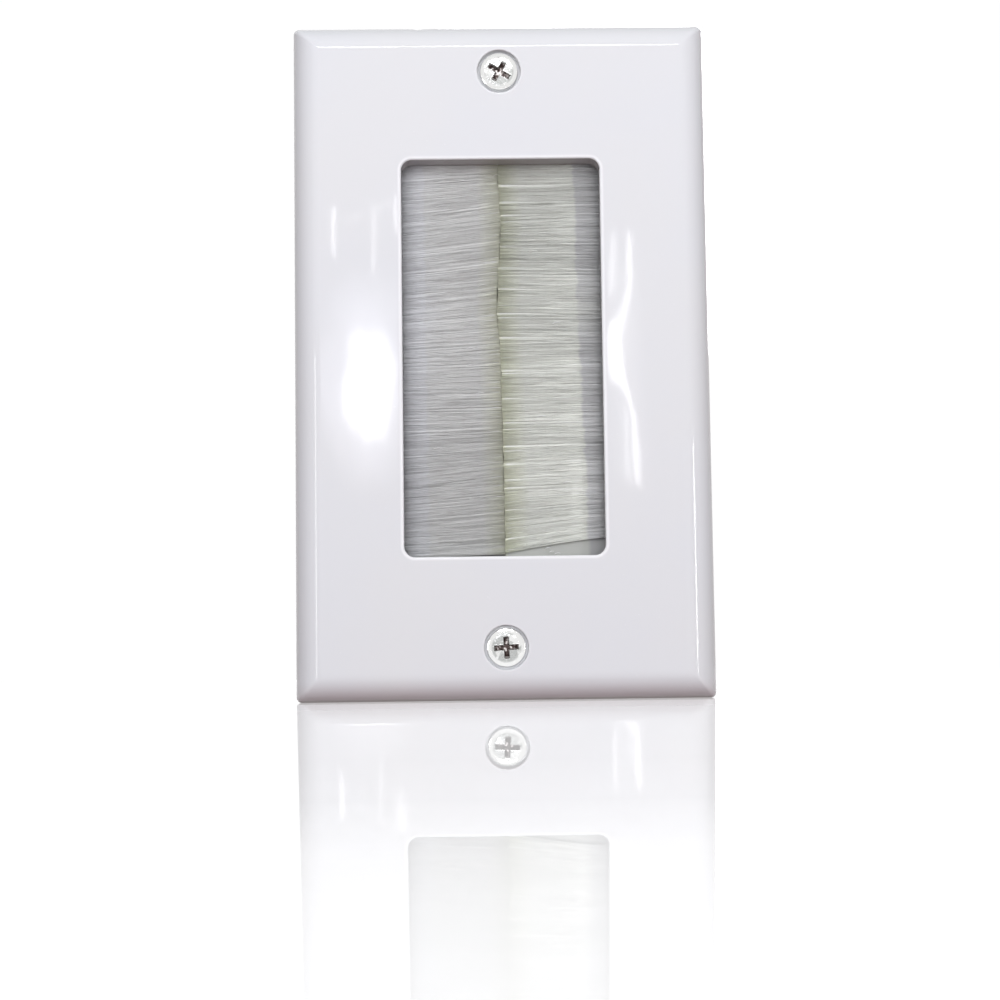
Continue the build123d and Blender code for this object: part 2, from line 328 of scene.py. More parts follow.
class Recipe:
    """The nodes of one material, lamp or world, with the output that they feed."""

    def __init__(self, owner: bpy.types.ID, output: str = "ShaderNodeOutputMaterial") -> None:
        """Starts empty nodes.

        Args:
            owner: The material, lamp or world.
            output: Type of its output node.
        """
        self.owner = owner
        owner.use_nodes = True
        self.tree = owner.node_tree
        self.tree.nodes.clear()
        self.output = self.node(output, {}, {})

    @classmethod
    def named(cls, name: str) -> "Recipe":
        """Recipe of a new material."""
        return cls(bpy.data.materials.new(name))

    def finish(self, shader: bpy.types.Node) -> Any:
        """Joins the last shader to the output and returns what the nodes belong to."""
        self.tree.links.new(shader.outputs[0], self.output.inputs["Surface"])
        return self.owner

    def node(self, kind: str, settings: Mapping[str, Any], inputs: Mapping[Any, Any]) -> bpy.types.Node:
        """Adds one node.

        Args:
            kind: The node's type.
            settings: Its own settings, set first. A ramp's stops are (place, colour) pairs.
            inputs: Values or links of its sockets, by name or number.

        Returns:
            The node.
        """
        node = self.tree.nodes.new(kind)
        for key, value in settings.items():
            if key == "stops":
                ramp = node.color_ramp
                while len(ramp.elements) < len(value):
                    ramp.elements.new(1.0)
                for element, (place, colour) in zip(ramp.elements, value):
                    element.position = place
                    element.color = (*colour, 1.0)
            else:
                setattr(node, key, value)
        for key, value in inputs.items():
            socket = node.inputs[key]
            if isinstance(value, Flow):
                self.tree.links.new(value.socket, socket)
            elif isinstance(value, bpy.types.NodeSocket):
                self.tree.links.new(value, socket)
            elif socket.type == "RGBA" and len(value) == 3:
                socket.default_value = (*value, 1.0)
            else:
                socket.default_value = value
        return node

    def flow(self, node: bpy.types.Node, name: str | int = 0) -> Flow:
        """One output of a node."""
        return Flow(self, node.outputs[name])

    def place(self) -> Flow:
        """Place on the piece in millimetres, in the frame's own axes."""
        coordinates = self.node("ShaderNodeTexCoord", {}, {})
        return self.flow(coordinates, "Object") * (1 / MM)

    def axes(self, place: Flow) -> tuple[Flow, Flow, Flow]:
        """The three parts of a vector."""
        split = self.node("ShaderNodeSeparateXYZ", {}, {0: place})
        return self.flow(split, "X"), self.flow(split, "Y"), self.flow(split, "Z")

    def vector(self, x: Any, y: Any, z: Any) -> Flow:
        """A vector made of three parts."""
        return self.flow(self.node("ShaderNodeCombineXYZ", {}, {0: x, 1: y, 2: z}))

    def noise(self, place: Flow, size: float, detail: float = 2.0, rough: float = 0.5) -> Flow:
        """Soft noise from 0 to 1 whose lumps are about that many millimetres wide."""
        inputs = {"Vector": place, "Scale": 1 / size, "Detail": detail, "Roughness": rough}
        return self.flow(self.node("ShaderNodeTexNoise", {}, inputs), "Fac")

    def range(self, value: Flow, low: float, high: float) -> Flow:
        """Value carried smoothly from low..high to 0..1, and held there outside."""
        settings = {"interpolation_type": "SMOOTHSTEP"}
        inputs = {"Value": value, "From Min": low, "From Max": high}
        return self.flow(self.node("ShaderNodeMapRange", settings, inputs), "Result")

    def mix(self, share: Any, first: Any, second: Any) -> Flow:
        """Colour between two colours."""
        inputs = {0: share, 6: first, 7: second}
        return self.flow(self.node("ShaderNodeMix", {"data_type": "RGBA"}, inputs), 2)

    def mark(self, name: str) -> bpy.types.Node:
        """The piece's own attribute."""
        return self.node("ShaderNodeAttribute", {"attribute_name": name}, {})

    def bump(self, height: Flow, depth: float) -> Flow:
        """Normal of a relief that many millimetres deep."""
        inputs = {"Height": height, "Distance": depth * MM}
        return self.flow(self.node("ShaderNodeBump", {}, inputs), "Normal")

    def surface(self, inputs: Mapping[str, Any]) -> bpy.types.Material:
        """Feeds the main shader and finishes the material.

        Args:
            inputs: Values or links of the shader's sockets.

        Returns:
            The material.
        """
        return self.finish(self.node("ShaderNodeBsdfPrincipled", {}, inputs))


@dataclass(frozen=True)
class GlossMoulding:
    """Gloss white moulded plastic: faint ripples, dust specks and hairline scratches, with painted highlights
    and painted shade.

    The mark is above 0 on rounded edges, which it lightens as a painted highlight, and below 0 on the
    window's sides, which it darkens as painted shade. Places are in millimetres, and so are the heights over
    the foot at which the painted warm shade and the painted contact shadow end.
    """

    name: str = "gloss_white_moulding"
    colour: Colour = (0.772, 0.780, 0.798)
    warm: Colour = (0.780, 0.784, 0.792)
    # Painted shade on the window's sides.
    dust_and_shade: Colour = (0.36, 0.33, 0.33)
    # Painted highlight on rounded edges.
    edge: Colour = (0.93, 0.93, 0.94)
    # Painted warm shade with the floor's reflection, darker towards the foot.
    warm_shade: Colour = (0.44, 0.26, 0.25)
    # Painted contact shadow along the foot.
    foot_shadow: Colour = (0.26, 0.18, 0.17)
    foot: float = -57.15
    warm_shade_top: float = 3.8
    foot_shadow_top: float = 0.42
    roughness: float = 0.02
    ripple: float = 0.007

    def build(self) -> bpy.types.Material:
        """Makes the material."""
        recipe = Recipe.named(self.name)
        place = recipe.place()
        x, y, z = recipe.axes(place)
        cloud = recipe.noise(place, 26.0, 3.0)
        # The mark: above 0 a painted highlight, below 0 painted shade.
        painted_light_mark = recipe.flow(recipe.mark("mark"), "Fac")
        colour = recipe.mix(recipe.range(cloud, 0.35, 0.65), self.colour, self.warm)
        # Painted highlight on rounded edges, where the mark is above 0.
        colour = recipe.mix(painted_light_mark.most(0.0), colour, self.edge)
        # Painted shade on the window's sides, where the mark is below 0.
        colour = recipe.mix((painted_light_mark * -1.0).most(0.0) * 0.7, colour, self.dust_and_shade)
        # Painted contact shadow along the foot, which also makes the surface rougher there.
        foot_shadow = recipe.range(z, self.foot + self.foot_shadow_top, self.foot + 0.12)
        # Painted warm shade with the floor's reflection on the lower bevel, growing towards the foot.
        warm_shade = recipe.range(z, self.foot + self.warm_shade_top, self.foot + 0.3)
        colour = recipe.mix(warm_shade * 0.25, colour, self.warm_shade)
        colour = recipe.mix(foot_shadow * 0.92, colour, self.foot_shadow)
        stretched = recipe.vector(x, y, z * 0.35)
        swell = recipe.noise(stretched, 11.0, 1.0)
        orange = recipe.noise(recipe.vector(x, y, z * 0.3), 1.8, 2.0)
        dust = recipe.range(recipe.noise(place, 0.45, 1.0), 0.74, 0.80)
        scratch_lines = recipe.noise(recipe.vector(x * 3.0, y, z * 0.12), 1.3, 2.0)
        scratch = recipe.range(scratch_lines, 0.735, 0.75) * recipe.range(cloud, 0.45, 0.6)
        relief = swell * 4.0 + orange * 0.16 + dust * 0.12 - scratch * 0.1
        rough = self.roughness + cloud * 0.016 + dust * 0.25 + scratch * 0.15 + foot_shadow * 0.4
        return recipe.surface({
            "Base Color": colour,
            "Roughness": rough,
            "IOR": 1.53,
            "Normal": recipe.bump(relief, self.ripple),
        })


@dataclass(frozen=True)
class MattMoulding:
    """Matt moulded plastic with a spark-eroded grain, flow marks and scuffed high spots."""

    name: str
    colour: Colour
    shade: Colour
    roughness: float = 0.55

    def build(self) -> bpy.types.Material:
        """Makes the material."""
        recipe = Recipe.named(self.name)
        place = recipe.place()
        x, y, z = recipe.axes(place)
        grain = recipe.noise(place, 0.22, 3.0, 0.6)
        cloud = recipe.noise(place, 9.0, 3.0)
        flow_marks = recipe.noise(recipe.vector(x * 0.2, y, z * 1.4), 3.0, 2.0)
        scuff = recipe.range(recipe.noise(recipe.vector(x, y * 4.0, z * 0.2), 1.1, 3.0), 0.66, 0.72)
        colour = recipe.mix(recipe.range(cloud, 0.3, 0.7), self.colour, self.shade)
        colour = recipe.mix(scuff * 0.35, colour, tuple(min(1.0, part * 1.2) for part in self.colour))
        rough = self.roughness + (grain - 0.5) * 0.2 - scuff * 0.15 + (flow_marks - 0.5) * 0.1
        return recipe.surface({
            "Base Color": colour,
            "Roughness": rough,
            "IOR": 1.5,
            "Normal": recipe.bump(grain + flow_marks * 0.3, 0.03),
        })


@dataclass(frozen=True)
class Plating:
    """Plated screw metal: patches of painted dark reflection that stay off its rim, which stays bright as a
    painted highlight, and painted shade with painted glints where the cross is cut.
    """

    name: str
    colour: Colour
    # Painted dark reflection, in patches.
    dark_reflection: Colour
    # Painted shade in the cut cross, with painted glints in it.
    hollow: Colour = (0.075, 0.05, 0.045)
    glint: Colour = (0.95, 0.91, 0.88)
    roughness: float = 0.2
    patch: float = 1.1

    def build(self) -> bpy.types.Material:
        """Makes the material."""
        recipe = Recipe.named(self.name)
        place = recipe.place()
        mark = recipe.flow(recipe.mark("mark"), "Fac")
        cut, rim = mark.most(0.0), (mark * -1.0).most(0.0)
        # Patches of painted dark reflection, kept off the rim so that it stays bright as a painted highlight.
        lumps = recipe.noise(place + recipe.vector(4.3, 0.0, 1.9), self.patch, 1.0)
        patches = recipe.range(lumps, 0.38, 0.54) * (1.0 - rim)
        fine = recipe.noise(place, 0.16, 3.0, 0.6)
        # Painted glints inside the painted shade of the cut cross.
        glints = recipe.range(recipe.noise(place, 0.5, 1.0), 0.50, 0.60)
        hollow = recipe.mix(glints * 0.85, self.hollow, self.glint)
        colour = recipe.mix(patches * 0.75 + (fine - 0.5) * 0.15, self.colour, self.dark_reflection)
        colour = recipe.mix(cut, colour, hollow)
        rough = self.roughness + patches * 0.08 + fine * 0.06 + cut * 0.25
        relief = recipe.noise(place, 0.9, 2.0) + fine * 0.08
        return recipe.surface({
            "Base Color": colour,
            "Metallic": 1.0 - cut * 0.5,
            "Roughness": rough,
            "Normal": recipe.bump(relief, 0.05),
        })


@dataclass(frozen=True)
class TurnedMetal:
    """Turned or drawn metal: fine lines across its axis, with tarnish in patches."""

    name: str
    colour: Colour
    tarnish: Colour
    roughness: float = 0.28
    line: float = 0.12
    along: int = 1

    def build(self) -> bpy.types.Material:
        """Makes the material."""
        recipe = Recipe.named(self.name)
        place = recipe.place()
        parts = list(recipe.axes(place))
        stretched = [part * 0.15 for part in parts]
        stretched[self.along] = parts[self.along]
        lines = recipe.noise(recipe.vector(*stretched), self.line, 2.0)
        patches = recipe.range(recipe.noise(place, 1.7, 3.0), 0.42, 0.66)
        colour = recipe.mix(patches * 0.8, self.colour, self.tarnish)
        return recipe.surface({
            "Base Color": colour,
            "Metallic": 1.0,
            "Roughness": self.roughness + patches * 0.15 + (lines - 0.5) * 0.15,
            "Normal": recipe.bump(lines, 0.012),
        })


@dataclass(frozen=True)
class SpangledSteel:
    """Galvanised strip: crystals of zinc that differ in tone, with a matt film."""

    name: str = "galvanised_strip"
    colour: Colour = (0.56, 0.58, 0.60)
    dark: Colour = (0.34, 0.36, 0.39)
    roughness: float = 0.38
    spangle: float = 2.2

    def build(self) -> bpy.types.Material:
        """Makes the material."""
        recipe = Recipe.named(self.name)
        place = recipe.place()
        warp = recipe.noise(place, 2.5, 2.0)
        inputs = {"Vector": place + warp * 0.8, "Scale": 1 / self.spangle}
        cells = recipe.node("ShaderNodeTexVoronoi", {}, inputs)
        split = recipe.node("ShaderNodeSeparateColor", {}, {0: recipe.flow(cells, "Color")})
        tone = recipe.flow(split, 0)
        fine = recipe.noise(place, 0.12, 3.0)
        colour = recipe.mix(tone * 0.7 + fine * 0.3, self.colour, self.dark)
        return recipe.surface({
            "Base Color": colour,
            "Metallic": 0.95,
            "Roughness": self.roughness + (tone - 0.5) * 0.2 + (fine - 0.5) * 0.1,
            "Normal": recipe.bump(tone * 0.3 + fine, 0.01),
        })


@dataclass(frozen=True)
class PressedFibre:
    """Pressed fibre sheet: matted short fibres with flecks and a cut edge."""

    name: str = "red_fibre"
    colour: Colour = (0.34, 0.085, 0.05)
    fleck: Colour = (0.52, 0.20, 0.13)
    roughness: float = 0.75

    def build(self) -> bpy.types.Material:
        """Makes the material."""
        recipe = Recipe.named(self.name)
        place = recipe.place()
        x, y, z = recipe.axes(place)
        across = recipe.noise(recipe.vector(x * 0.3, y, z * 2.0), 0.3, 3.0)
        along = recipe.noise(recipe.vector(x * 2.0, y, z * 0.3), 0.3, 3.0)
        mat = across * along * 2.0
        colour = recipe.mix(recipe.range(mat, 0.4, 0.7), self.colour, self.fleck)
        return recipe.surface({
            "Base Color": colour,
            "Roughness": self.roughness + (mat - 0.5) * 0.2,
            "Normal": recipe.bump(mat, 0.05),
        })


@dataclass(frozen=True)
class Nylon:
    """Translucent nylon bristle: each one's own tint, slightly rougher where dirt lies."""

    name: str = "nylon_bristle"
    dirt: Colour = (0.40, 0.40, 0.36)
    shadow: Colour = (0.30, 0.30, 0.29)
    roughness: float = 0.48

    def build(self) -> bpy.types.Material:
        """Makes the material."""
        recipe = Recipe.named(self.name)
        place = recipe.place()
        x, y, z = recipe.axes(place)
        dust_and_shade = recipe.noise(place, 0.7, 2.0)
        strands = recipe.noise(recipe.vector(x * 0.05, y, z), 0.14, 3.0, 0.6)
        tint = recipe.flow(recipe.mark("tint"), "Color")
        dirt = recipe.range(dust_and_shade, 0.45, 0.75)
        colour = recipe.mix(dirt * 0.10, tint, self.dirt)
        colour = recipe.mix(recipe.range(strands, 0.35, 0.7) * 0.11, colour, self.shadow)
        return recipe.surface({
            "Base Color": colour,
            "Roughness": self.roughness + dirt * 0.2,
            "IOR": 1.53,
            "Normal": recipe.bump(strands, 0.010),
        })


# The object's pieces

@dataclass
class CoverPlate:
    """Moulded cover: a crowned front that falls in curved bevels to a straight wall, hollow behind."""

    face_wall: float = 2.2 * MM
    bevel_width: float = 4.0 * MM
    wall_height: float = 1.0 * MM
    bevel_tilts: tuple[float, float] = (20.0, 76.0)
    crest_arc: float = 1.3 * MM
    shoulder_arc: float = 0.75 * MM
    bevel_arc: float = 4.75 * MM
    bevel_rows: tuple[int, int, int] = (9, 13, 9)
    edge_round: float = 0.15 * MM
    mitre_round: float = 0.35 * MM
    corner_radius: float = 0.9 * MM
    rim_wall: float = 2.2 * MM
    hollow_taper: float = 20.0
    hollow_radius: float = 1.2 * MM
    window: tuple[float, float] = (16.65 * MM, 33.35 * MM)
    window_radius: float = 1.8 * MM
    window_round: float = 0.35 * MM
    shade_start: float = 0.5 * MM
    collar_wall: float = 0.9 * MM
    collar_depth: float = 4.0 * MM
    screw_height: float = 48.4 * MM
    recess: tuple[float, float] = (3.65 * MM, 1.4 * MM)
    recess_round: float = 0.22 * MM
    screw_hole: float = 2.003 * MM
    boss: tuple[float, float] = (3.1 * MM, 0.8 * MM)
    rib: float = 1.2 * MM
    rib_pitch: float = 21.0 * MM
    rib_start: float = 24.8 * MM
    rib_gap: float = 0.5 * MM
    nick: tuple[float, float, float] = (-13.6 * MM, 0.9 * MM, 0.16 * MM)
    nick_reach: float = 1.2 * MM
    sides: tuple[int, int] = (64, 104)
    arc: int = 10
    round_steps: int = 6
    circle_points: int = 96

    def __post_init__(self) -> None:
        """Reads the plate's outer size from the frame."""
        low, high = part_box("cover_plate")
        self.half_x, self.half_z = high.x, high.z
        self.face = low.y
        self.floor = self.face + self.face_wall
        self.boss_back = self.floor + self.boss[1]

    def outline(self, offset: float, radius: float) -> np.ndarray:
        """Loop that stands that far outside the crest, where the bevel starts."""
        inset = self.bevel_width
        return rounded_rectangle(
            self.half_x - inset + offset, self.half_z - inset + offset, radius, self.sides, self.arc
        )

    def bevel(self) -> np.ndarray:
        """Profile from the flat front to the side wall, worked out from its tilt.

        The tilt grows evenly with the distance along the surface, in three runs: over the soft
        crest, over the curved bevel and over the shoulder to the upright wall. The profile is the
        running sum of its cosine and its sine, stretched to end exactly on the wall.

        Returns:
            Rows of offset outside the crest and depth.
        """
        runs = np.cumsum([0.0, self.crest_arc, self.bevel_arc, self.shoulder_arc])
        crest, curve, shoulder = self.bevel_rows
        along = np.concatenate([
            np.linspace(runs[0], runs[1], crest), np.linspace(runs[1], runs[2], curve)[1:],
            np.linspace(runs[2], runs[3], shoulder)[1:],
        ])
        fine = np.linspace(0.0, runs[-1], 2000)
        tilt = np.radians(np.interp(fine, runs, (0.0, *self.bevel_tilts, 90.0)))
        out = np.cumsum(np.cos(tilt))
        drop = np.cumsum(np.sin(tilt))
        start = -self.crest_arc / 2
        out = start + (out - out[0]) / (out[-1] - out[0]) * (self.bevel_width - start)
        drop = self.face + (drop - drop[0]) / (drop[-1] - drop[0]) * (-self.wall_height - self.face)
        return np.stack([np.interp(along, fine, out), np.interp(along, fine, drop)], axis=1)

    def outer_shell(self, shell: Shell) -> tuple[np.ndarray, np.ndarray]:
        """Bevel, side wall, rim and the hollow's tapered side, as one profile carried round the plate.

        A point of the profile is its offset outside the crest and its depth. The corner radius of
        each loop grows from the mitre's at the crest to the outline's at the side wall, as the
        offset to the 1.3.

        Args:
            shell: The piece that takes the surface.

        Returns:
            The front face's loop and the hollow floor's loop.
        """
        inner = self.bevel_width - self.rim_wall
        slope = math.tan(math.radians(self.hollow_taper))
        floor_offset = inner + self.floor * slope
        corners = [
            (self.bevel_width, -self.wall_height + self.edge_round, 0.0),
            (self.bevel_width, 0.0, self.edge_round),
            (inner, 0.0, self.edge_round),
            (floor_offset, self.floor, 0.4 * MM),
            (floor_offset - 0.6 * MM, self.floor, 0.0),
        ]
        bevel = self.bevel()
        profile = np.concatenate([bevel, rounded_profile(corners, self.round_steps)])
        rim_end = len(bevel) + self.round_steps + 3
        loops = []
        for row, (offset, depth) in enumerate(profile):
            share = max(0.0, min(1.0, offset / self.bevel_width)) ** 1.3
            grown = self.mitre_round + (self.corner_radius - self.mitre_round) * share
            radius = grown if row < rim_end else self.hollow_radius
            loops.append(at_depth(self.outline(offset, radius), depth))
        grid = np.stack(loops)
        x, width, drop = self.nick
        near = np.exp(-((grid[..., 0] - x) / width) ** 2) * (grid[..., 2] > self.half_z - self.nick_reach)
        front = grid[..., 1] < -self.wall_height + self.nick_reach
        grid[..., 2] -= drop * near * front
        shell.patch(grid)
        return grid[0], grid[-1]

    def window_sides(self, shell: Shell) -> tuple[np.ndarray, np.ndarray]:
        """Rounded edge of the window with a painted highlight, its sides darkened with painted shade, and the
        collar behind.

        Args:
            shell: The piece that takes the surface.

        Returns:
            The loop on the front face and the loop on the hollow's floor.
        """
        back = self.face + self.collar_depth
        reach = self.window_round
        corners = [
            (reach * 2, self.face, 0.0),
            (0.0, self.face, reach),
            # The painted shade on the window's sides starts this far behind the front.
            (0.0, self.face + self.shade_start, 0.0),
            (0.0, back, 0.12 * MM),
            (self.collar_wall, back, 0.12 * MM),
            (self.collar_wall, self.floor, 0.0),
        ]
        profile = rounded_profile(corners, self.round_steps)
        loops = [
            at_depth(
                rounded_rectangle(
                    self.window[0] + out, self.window[1] + out, self.window_radius + out, self.sides, self.arc
                ),
                depth,
            )
            for out, depth in profile
        ]
        painted_light_mark = np.zeros(len(profile))
        # Painted highlight on the window's rounded edge.
        painted_light_mark[1:self.round_steps + 1] = 1.0
        # Painted shade on the window's sides, behind the rounded edge.
        painted_light_mark[self.round_steps + 2:2 * self.round_steps + 4] = -1.0
        shell.patch(np.stack(loops), painted_light_mark[:, None])
        return loops[0], loops[-1]

    def screw_seat(self, shell: Shell, z: float) -> tuple[np.ndarray, np.ndarray]:
        """Recess for a screw's head, its hole and the boss behind, turned round the screw's axis.

        Args:
            shell: The piece that takes the surface.
            z: Height of the screw.

        Returns:
            The loop on the front face and the loop on the hollow's floor.
        """
        radius, depth = self.recess
        corners = [
            (radius + 2 * self.recess_round, self.face, 0.0),
            (radius, self.face, self.recess_round),
            (radius, self.face + depth, 0.2 * MM),
            (self.screw_hole, self.face + depth, 0.1 * MM),
            (self.screw_hole, self.boss_back, 0.1 * MM),
            (self.boss[0], self.boss_back, 0.1 * MM),
            (self.boss[0], self.floor, 0.0),
        ]
        profile = rounded_profile(corners, self.round_steps)
        loops = [at_depth(circle(out, 0.0, z, self.circle_points), deep) for out, deep in profile]
        painted_light_mark = np.zeros(len(profile))
        # A faint painted highlight on the recess's rounded edge.
        painted_light_mark[1:self.round_steps + 1] = 0.25
        shell.patch(np.stack(loops), painted_light_mark[:, None])
        return loops[0], loops[-1]

    def ribs(self, shell: Shell) -> None:
        """Stiffening ribs beside the yoke and gussets behind the screw recesses."""
        slope = math.tan(math.radians(self.hollow_taper))
        sunk = 0.05 * MM
        tip = -self.rib_gap
        outer_x = self.half_x - self.rim_wall
        outer_z = self.half_z - self.rim_wall
        for side in (-1, 1):
            for row in (-1, 0, 1):
                section = np.array([
                    (self.rib_start, self.floor - sunk),
                    (outer_x + self.floor * slope + sunk, self.floor - sunk),
                    (outer_x + tip * slope + sunk, tip),
                    (self.rib_start, tip),
                ])
                ends = [section[:, 0] * side, section[:, 1]]
                self.prism(shell, ends, row * self.rib_pitch, along_z=False)
            start = self.screw_height + self.screw_hole + sunk
            section = np.array([
                (start, self.floor - sunk),
                (outer_z + self.floor * slope + sunk, self.floor - sunk),
                (outer_z + self.boss_back * slope + sunk, self.boss_back),
                (start, self.boss_back),
            ])
            self.prism(shell, [section[:, 0] * side, section[:, 1]], 0.0, along_z=True)

    def prism(self, shell: Shell, ends: Sequence[np.ndarray], middle: float, along_z: bool) -> None:
        """Four-cornered section given a rib's thickness.

        Args:
            shell: The piece that takes the surface.
            ends: The section's corners, along the rib and in depth.
            middle: Where the rib stands across its thickness.
            along_z: Whether it runs up and down.
        """
        along, depth = ends
        faces = []
        for cross in (middle - self.rib / 2, middle + self.rib / 2):
            flat = np.full(len(along), cross)
            faces.append(np.stack([flat, depth, along] if along_z else [along, depth, flat], axis=1))
        points = np.concatenate(faces)
        quads = np.array([(0, 1, 2, 3), (7, 6, 5, 4), (0, 4, 5, 1), (1, 5, 6, 2), (2, 6, 7, 3), (3, 7, 4, 0)])
        shell.add(points, [quads])

    def build(self, finish: bpy.types.Material) -> bpy.types.Object:
        """Makes and dresses the plate.

        Args:
            finish: The plate's material.

        Returns:
            The piece.
        """
        shell = Shell("moulded_cover_plate")
        front, back = self.outer_shell(shell)
        window_front, window_back = self.window_sides(shell)
        seats = [self.screw_seat(shell, level.value * self.screw_height) for level in Level]
        shell.fill([front, window_front, *[seat[0] for seat in seats]])
        shell.fill([back, window_back, *[seat[1] for seat in seats]])
        self.ribs(shell)
        piece = shell.build(sharp=30.0)
        piece.data.materials.append(finish)
        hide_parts("cover_plate")
        return piece


@dataclass
class CrossScrew:
    """Pan-headed screw with a tapered cross recess and a real helical thread.

    Attributes:
        node: CAD node that it replaces, whose axis it takes.
        slot: Name of its slot; not used.
        head_radius: Radius of the head.
        head_height: Height of the head's dome over its seat.
        seat: Depth of the head's underside.
        towards_room: Whether the head faces the room.
        neck: Radius of the plain neck and the length at which the thread starts.
        thread: Radius of the thread's core and of its crest.
        length: Length under the head.
        turn: How far the cross is turned, in degrees.
        arms: Reach of the cross's two arms in a head of full size.
        full_head: Radius of a head of full size, for which the cross's sizes are given.
        cross: Half the width of an arm and its depth.
        drafts: How steeply the depth grows from an arm's sides and from its end.
        burr: Reach and height of the burr round the cut.
        burr_room: How much lower the dome stands, so that the burr stays inside the head's height.
        pitch: Pitch of the thread.
        point: Length of the point.
        rings: Rings over the head.
        spokes: Points round each ring.
        steps_a_turn: Rings for each turn of the thread.
    """

    node: str
    slot: str
    head_radius: float
    head_height: float
    seat: float
    towards_room: bool
    neck: tuple[float, float]
    thread: tuple[float, float]
    length: float
    turn: float = 0.0
    arms: tuple[float, float] = (1.9 * MM, 1.9 * MM)
    full_head: float = 3.2 * MM
    cross: tuple[float, float] = (0.43 * MM, 1.0 * MM)
    drafts: tuple[float, float] = (4.5, 1.4)
    burr: tuple[float, float] = (0.09 * MM, 0.022 * MM)
    burr_room: float = 0.024 * MM
    pitch: float = 0.794 * MM
    point: float = 0.5 * MM
    rings: int = 84
    spokes: int = 240
    steps_a_turn: int = 9

    def __post_init__(self) -> None:
        """Reads the screw's axis from the frame."""
        low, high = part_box(self.node)
        self.x = (low.x + high.x) / 2
        self.z = (low.z + high.z) / 2

    def recess(self, across: np.ndarray, up: np.ndarray) -> np.ndarray:
        """Depth of the cross recess below the dome.

        Two arms cross. In each, the depth grows from the arm's sides at a steep draft and from its
        end at a gentler one, up to the depth at the middle, and the deeper arm counts. A low burr
        stands round the cut and fades as a bell curve of the distance from it.

        Args:
            across: Places along X from the screw's axis.
            up: Places along Z from the screw's axis.

        Returns:
            Depths, zero outside the cross.
        """
        share = self.head_radius / self.full_head
        angle = math.radians(self.turn)
        u = across * math.cos(angle) + up * math.sin(angle)
        v = -across * math.sin(angle) + up * math.cos(angle)
        width, deep = self.cross[0] * share, self.cross[1] * share
        arms, inside = [], []
        for a, b, reach in ((u, v, self.arms[0] * share), (v, u, self.arms[1] * share)):
            inside.append(np.minimum(width - abs(b), reach - abs(a)))
            arms.append(np.minimum((width - abs(b)) * self.drafts[0], (reach - abs(a)) * self.drafts[1]))
        cut = np.clip(np.maximum(*arms), 0.0, deep)
        burr = np.exp(-(np.minimum(np.maximum(*inside), 0.0) / self.burr[0]) ** 2) * (cut == 0.0)
        return cut - burr * self.burr[1] * share

    def grid(self) -> tuple[np.ndarray, np.ndarray]:
        """Whole screw as rings from the middle of its dome to the middle of its point.

        Rings on the head follow a dome, a rounded edge and a straight side. Rings on the thread
        have the radius of the core plus a share of the thread's height: a wave with slanted sides,
        of the distance along the screw less the turn round it.

        Returns:
            Points (ring, spoke, 3) in the frame, and the mark: above 0 in the cross, below at the rim.
        """
        top = self.head_height - self.burr_room
        dome = rounded_profile([
            (0.0, top, 0.0),
            (self.head_radius * 0.80, top * 0.955, self.head_radius * 1.3),
            (self.head_radius, top * 0.80, self.head_radius * 0.10),
            (self.head_radius, 0.0, 0.08 * MM),
            (self.neck[0], 0.0, 0.0),
        ], 12)
        length = np.concatenate([[0.0], np.cumsum(np.linalg.norm(np.diff(dome, axis=0), axis=1))])
        stations = np.linspace(0.0, 1.0, self.rings) * length[-1]
        radius = np.interp(stations, length, dome[:, 0])
        height = np.interp(stations, length, dome[:, 1])
        radius[-1], height[-1] = self.neck[0], 0.0
        theta = np.arange(self.spokes) * 2 * math.pi / self.spokes
        head_r = np.broadcast_to(radius[:, None], (self.rings, self.spokes))
        head_h = np.broadcast_to(height[:, None], head_r.shape).copy()
        on_top = head_h > self.head_height * 0.5
        cut = self.recess(head_r * np.sin(theta), head_r * np.cos(theta)) * on_top
        head_h -= cut
        # Below 0 the mark keeps the painted reflections off the rim.
        rim_share = smooth_step(0.70 * self.head_radius, 0.82 * self.head_radius, head_r)
        marks = np.where(cut > 0.0, smooth_step(0.06 * MM, 0.45 * MM, cut), -rim_share)

        start, end = self.neck[1], self.length
        turns = max(2, int((end - start) / self.pitch))
        along = np.linspace(start, end - self.point, turns * self.steps_a_turn)[:, None]
        core, crest = self.thread
        wave = np.mod(along / self.pitch - theta / (2 * math.pi), 1.0)
        flank = np.clip(1.35 - 2.7 * abs(wave - 0.5) * 1.15, 0.0, 1.0)
        fade = smooth_step(start, start + self.pitch, along)
        fade = fade * smooth_step(end - self.point, end - 2 * self.pitch, along)
        shank_r = core + (crest - core) * flank * fade
        shank_h = np.broadcast_to(-along, shank_r.shape)
        tip_r = np.array([core - self.point * 0.6, 0.0])[:, None] * np.ones(self.spokes)
        tip_h = np.full((2, self.spokes), -end)
        neck_r = np.full((1, self.spokes), self.neck[0])
        neck_h = np.full((1, self.spokes), -start)

        radii = np.concatenate([head_r, neck_r, shank_r, tip_r])
        heights = np.concatenate([head_h, neck_h, shank_h, tip_h])
        depth = self.seat - heights if self.towards_room else self.seat + heights
        points = np.stack([self.x + radii * np.sin(theta), depth, self.z + radii * np.cos(theta)], axis=-1)
        mark = np.zeros(radii.shape)
        mark[:self.rings] = marks
        return points, mark

    def build(self, finish: bpy.types.Material) -> bpy.types.Object:
        """Makes and dresses the screw.

        Args:
            finish: The screw's material.

        Returns:
            The piece.
        """
        shell = Shell(self.node + "_threaded")
        points, mark = self.grid()
        shell.patch(points, mark)
        piece = shell.build(weld=1e-6, sharp=45.0, weighted=False)
        piece.data.materials.append(finish)
        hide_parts(self.node)
        return piece


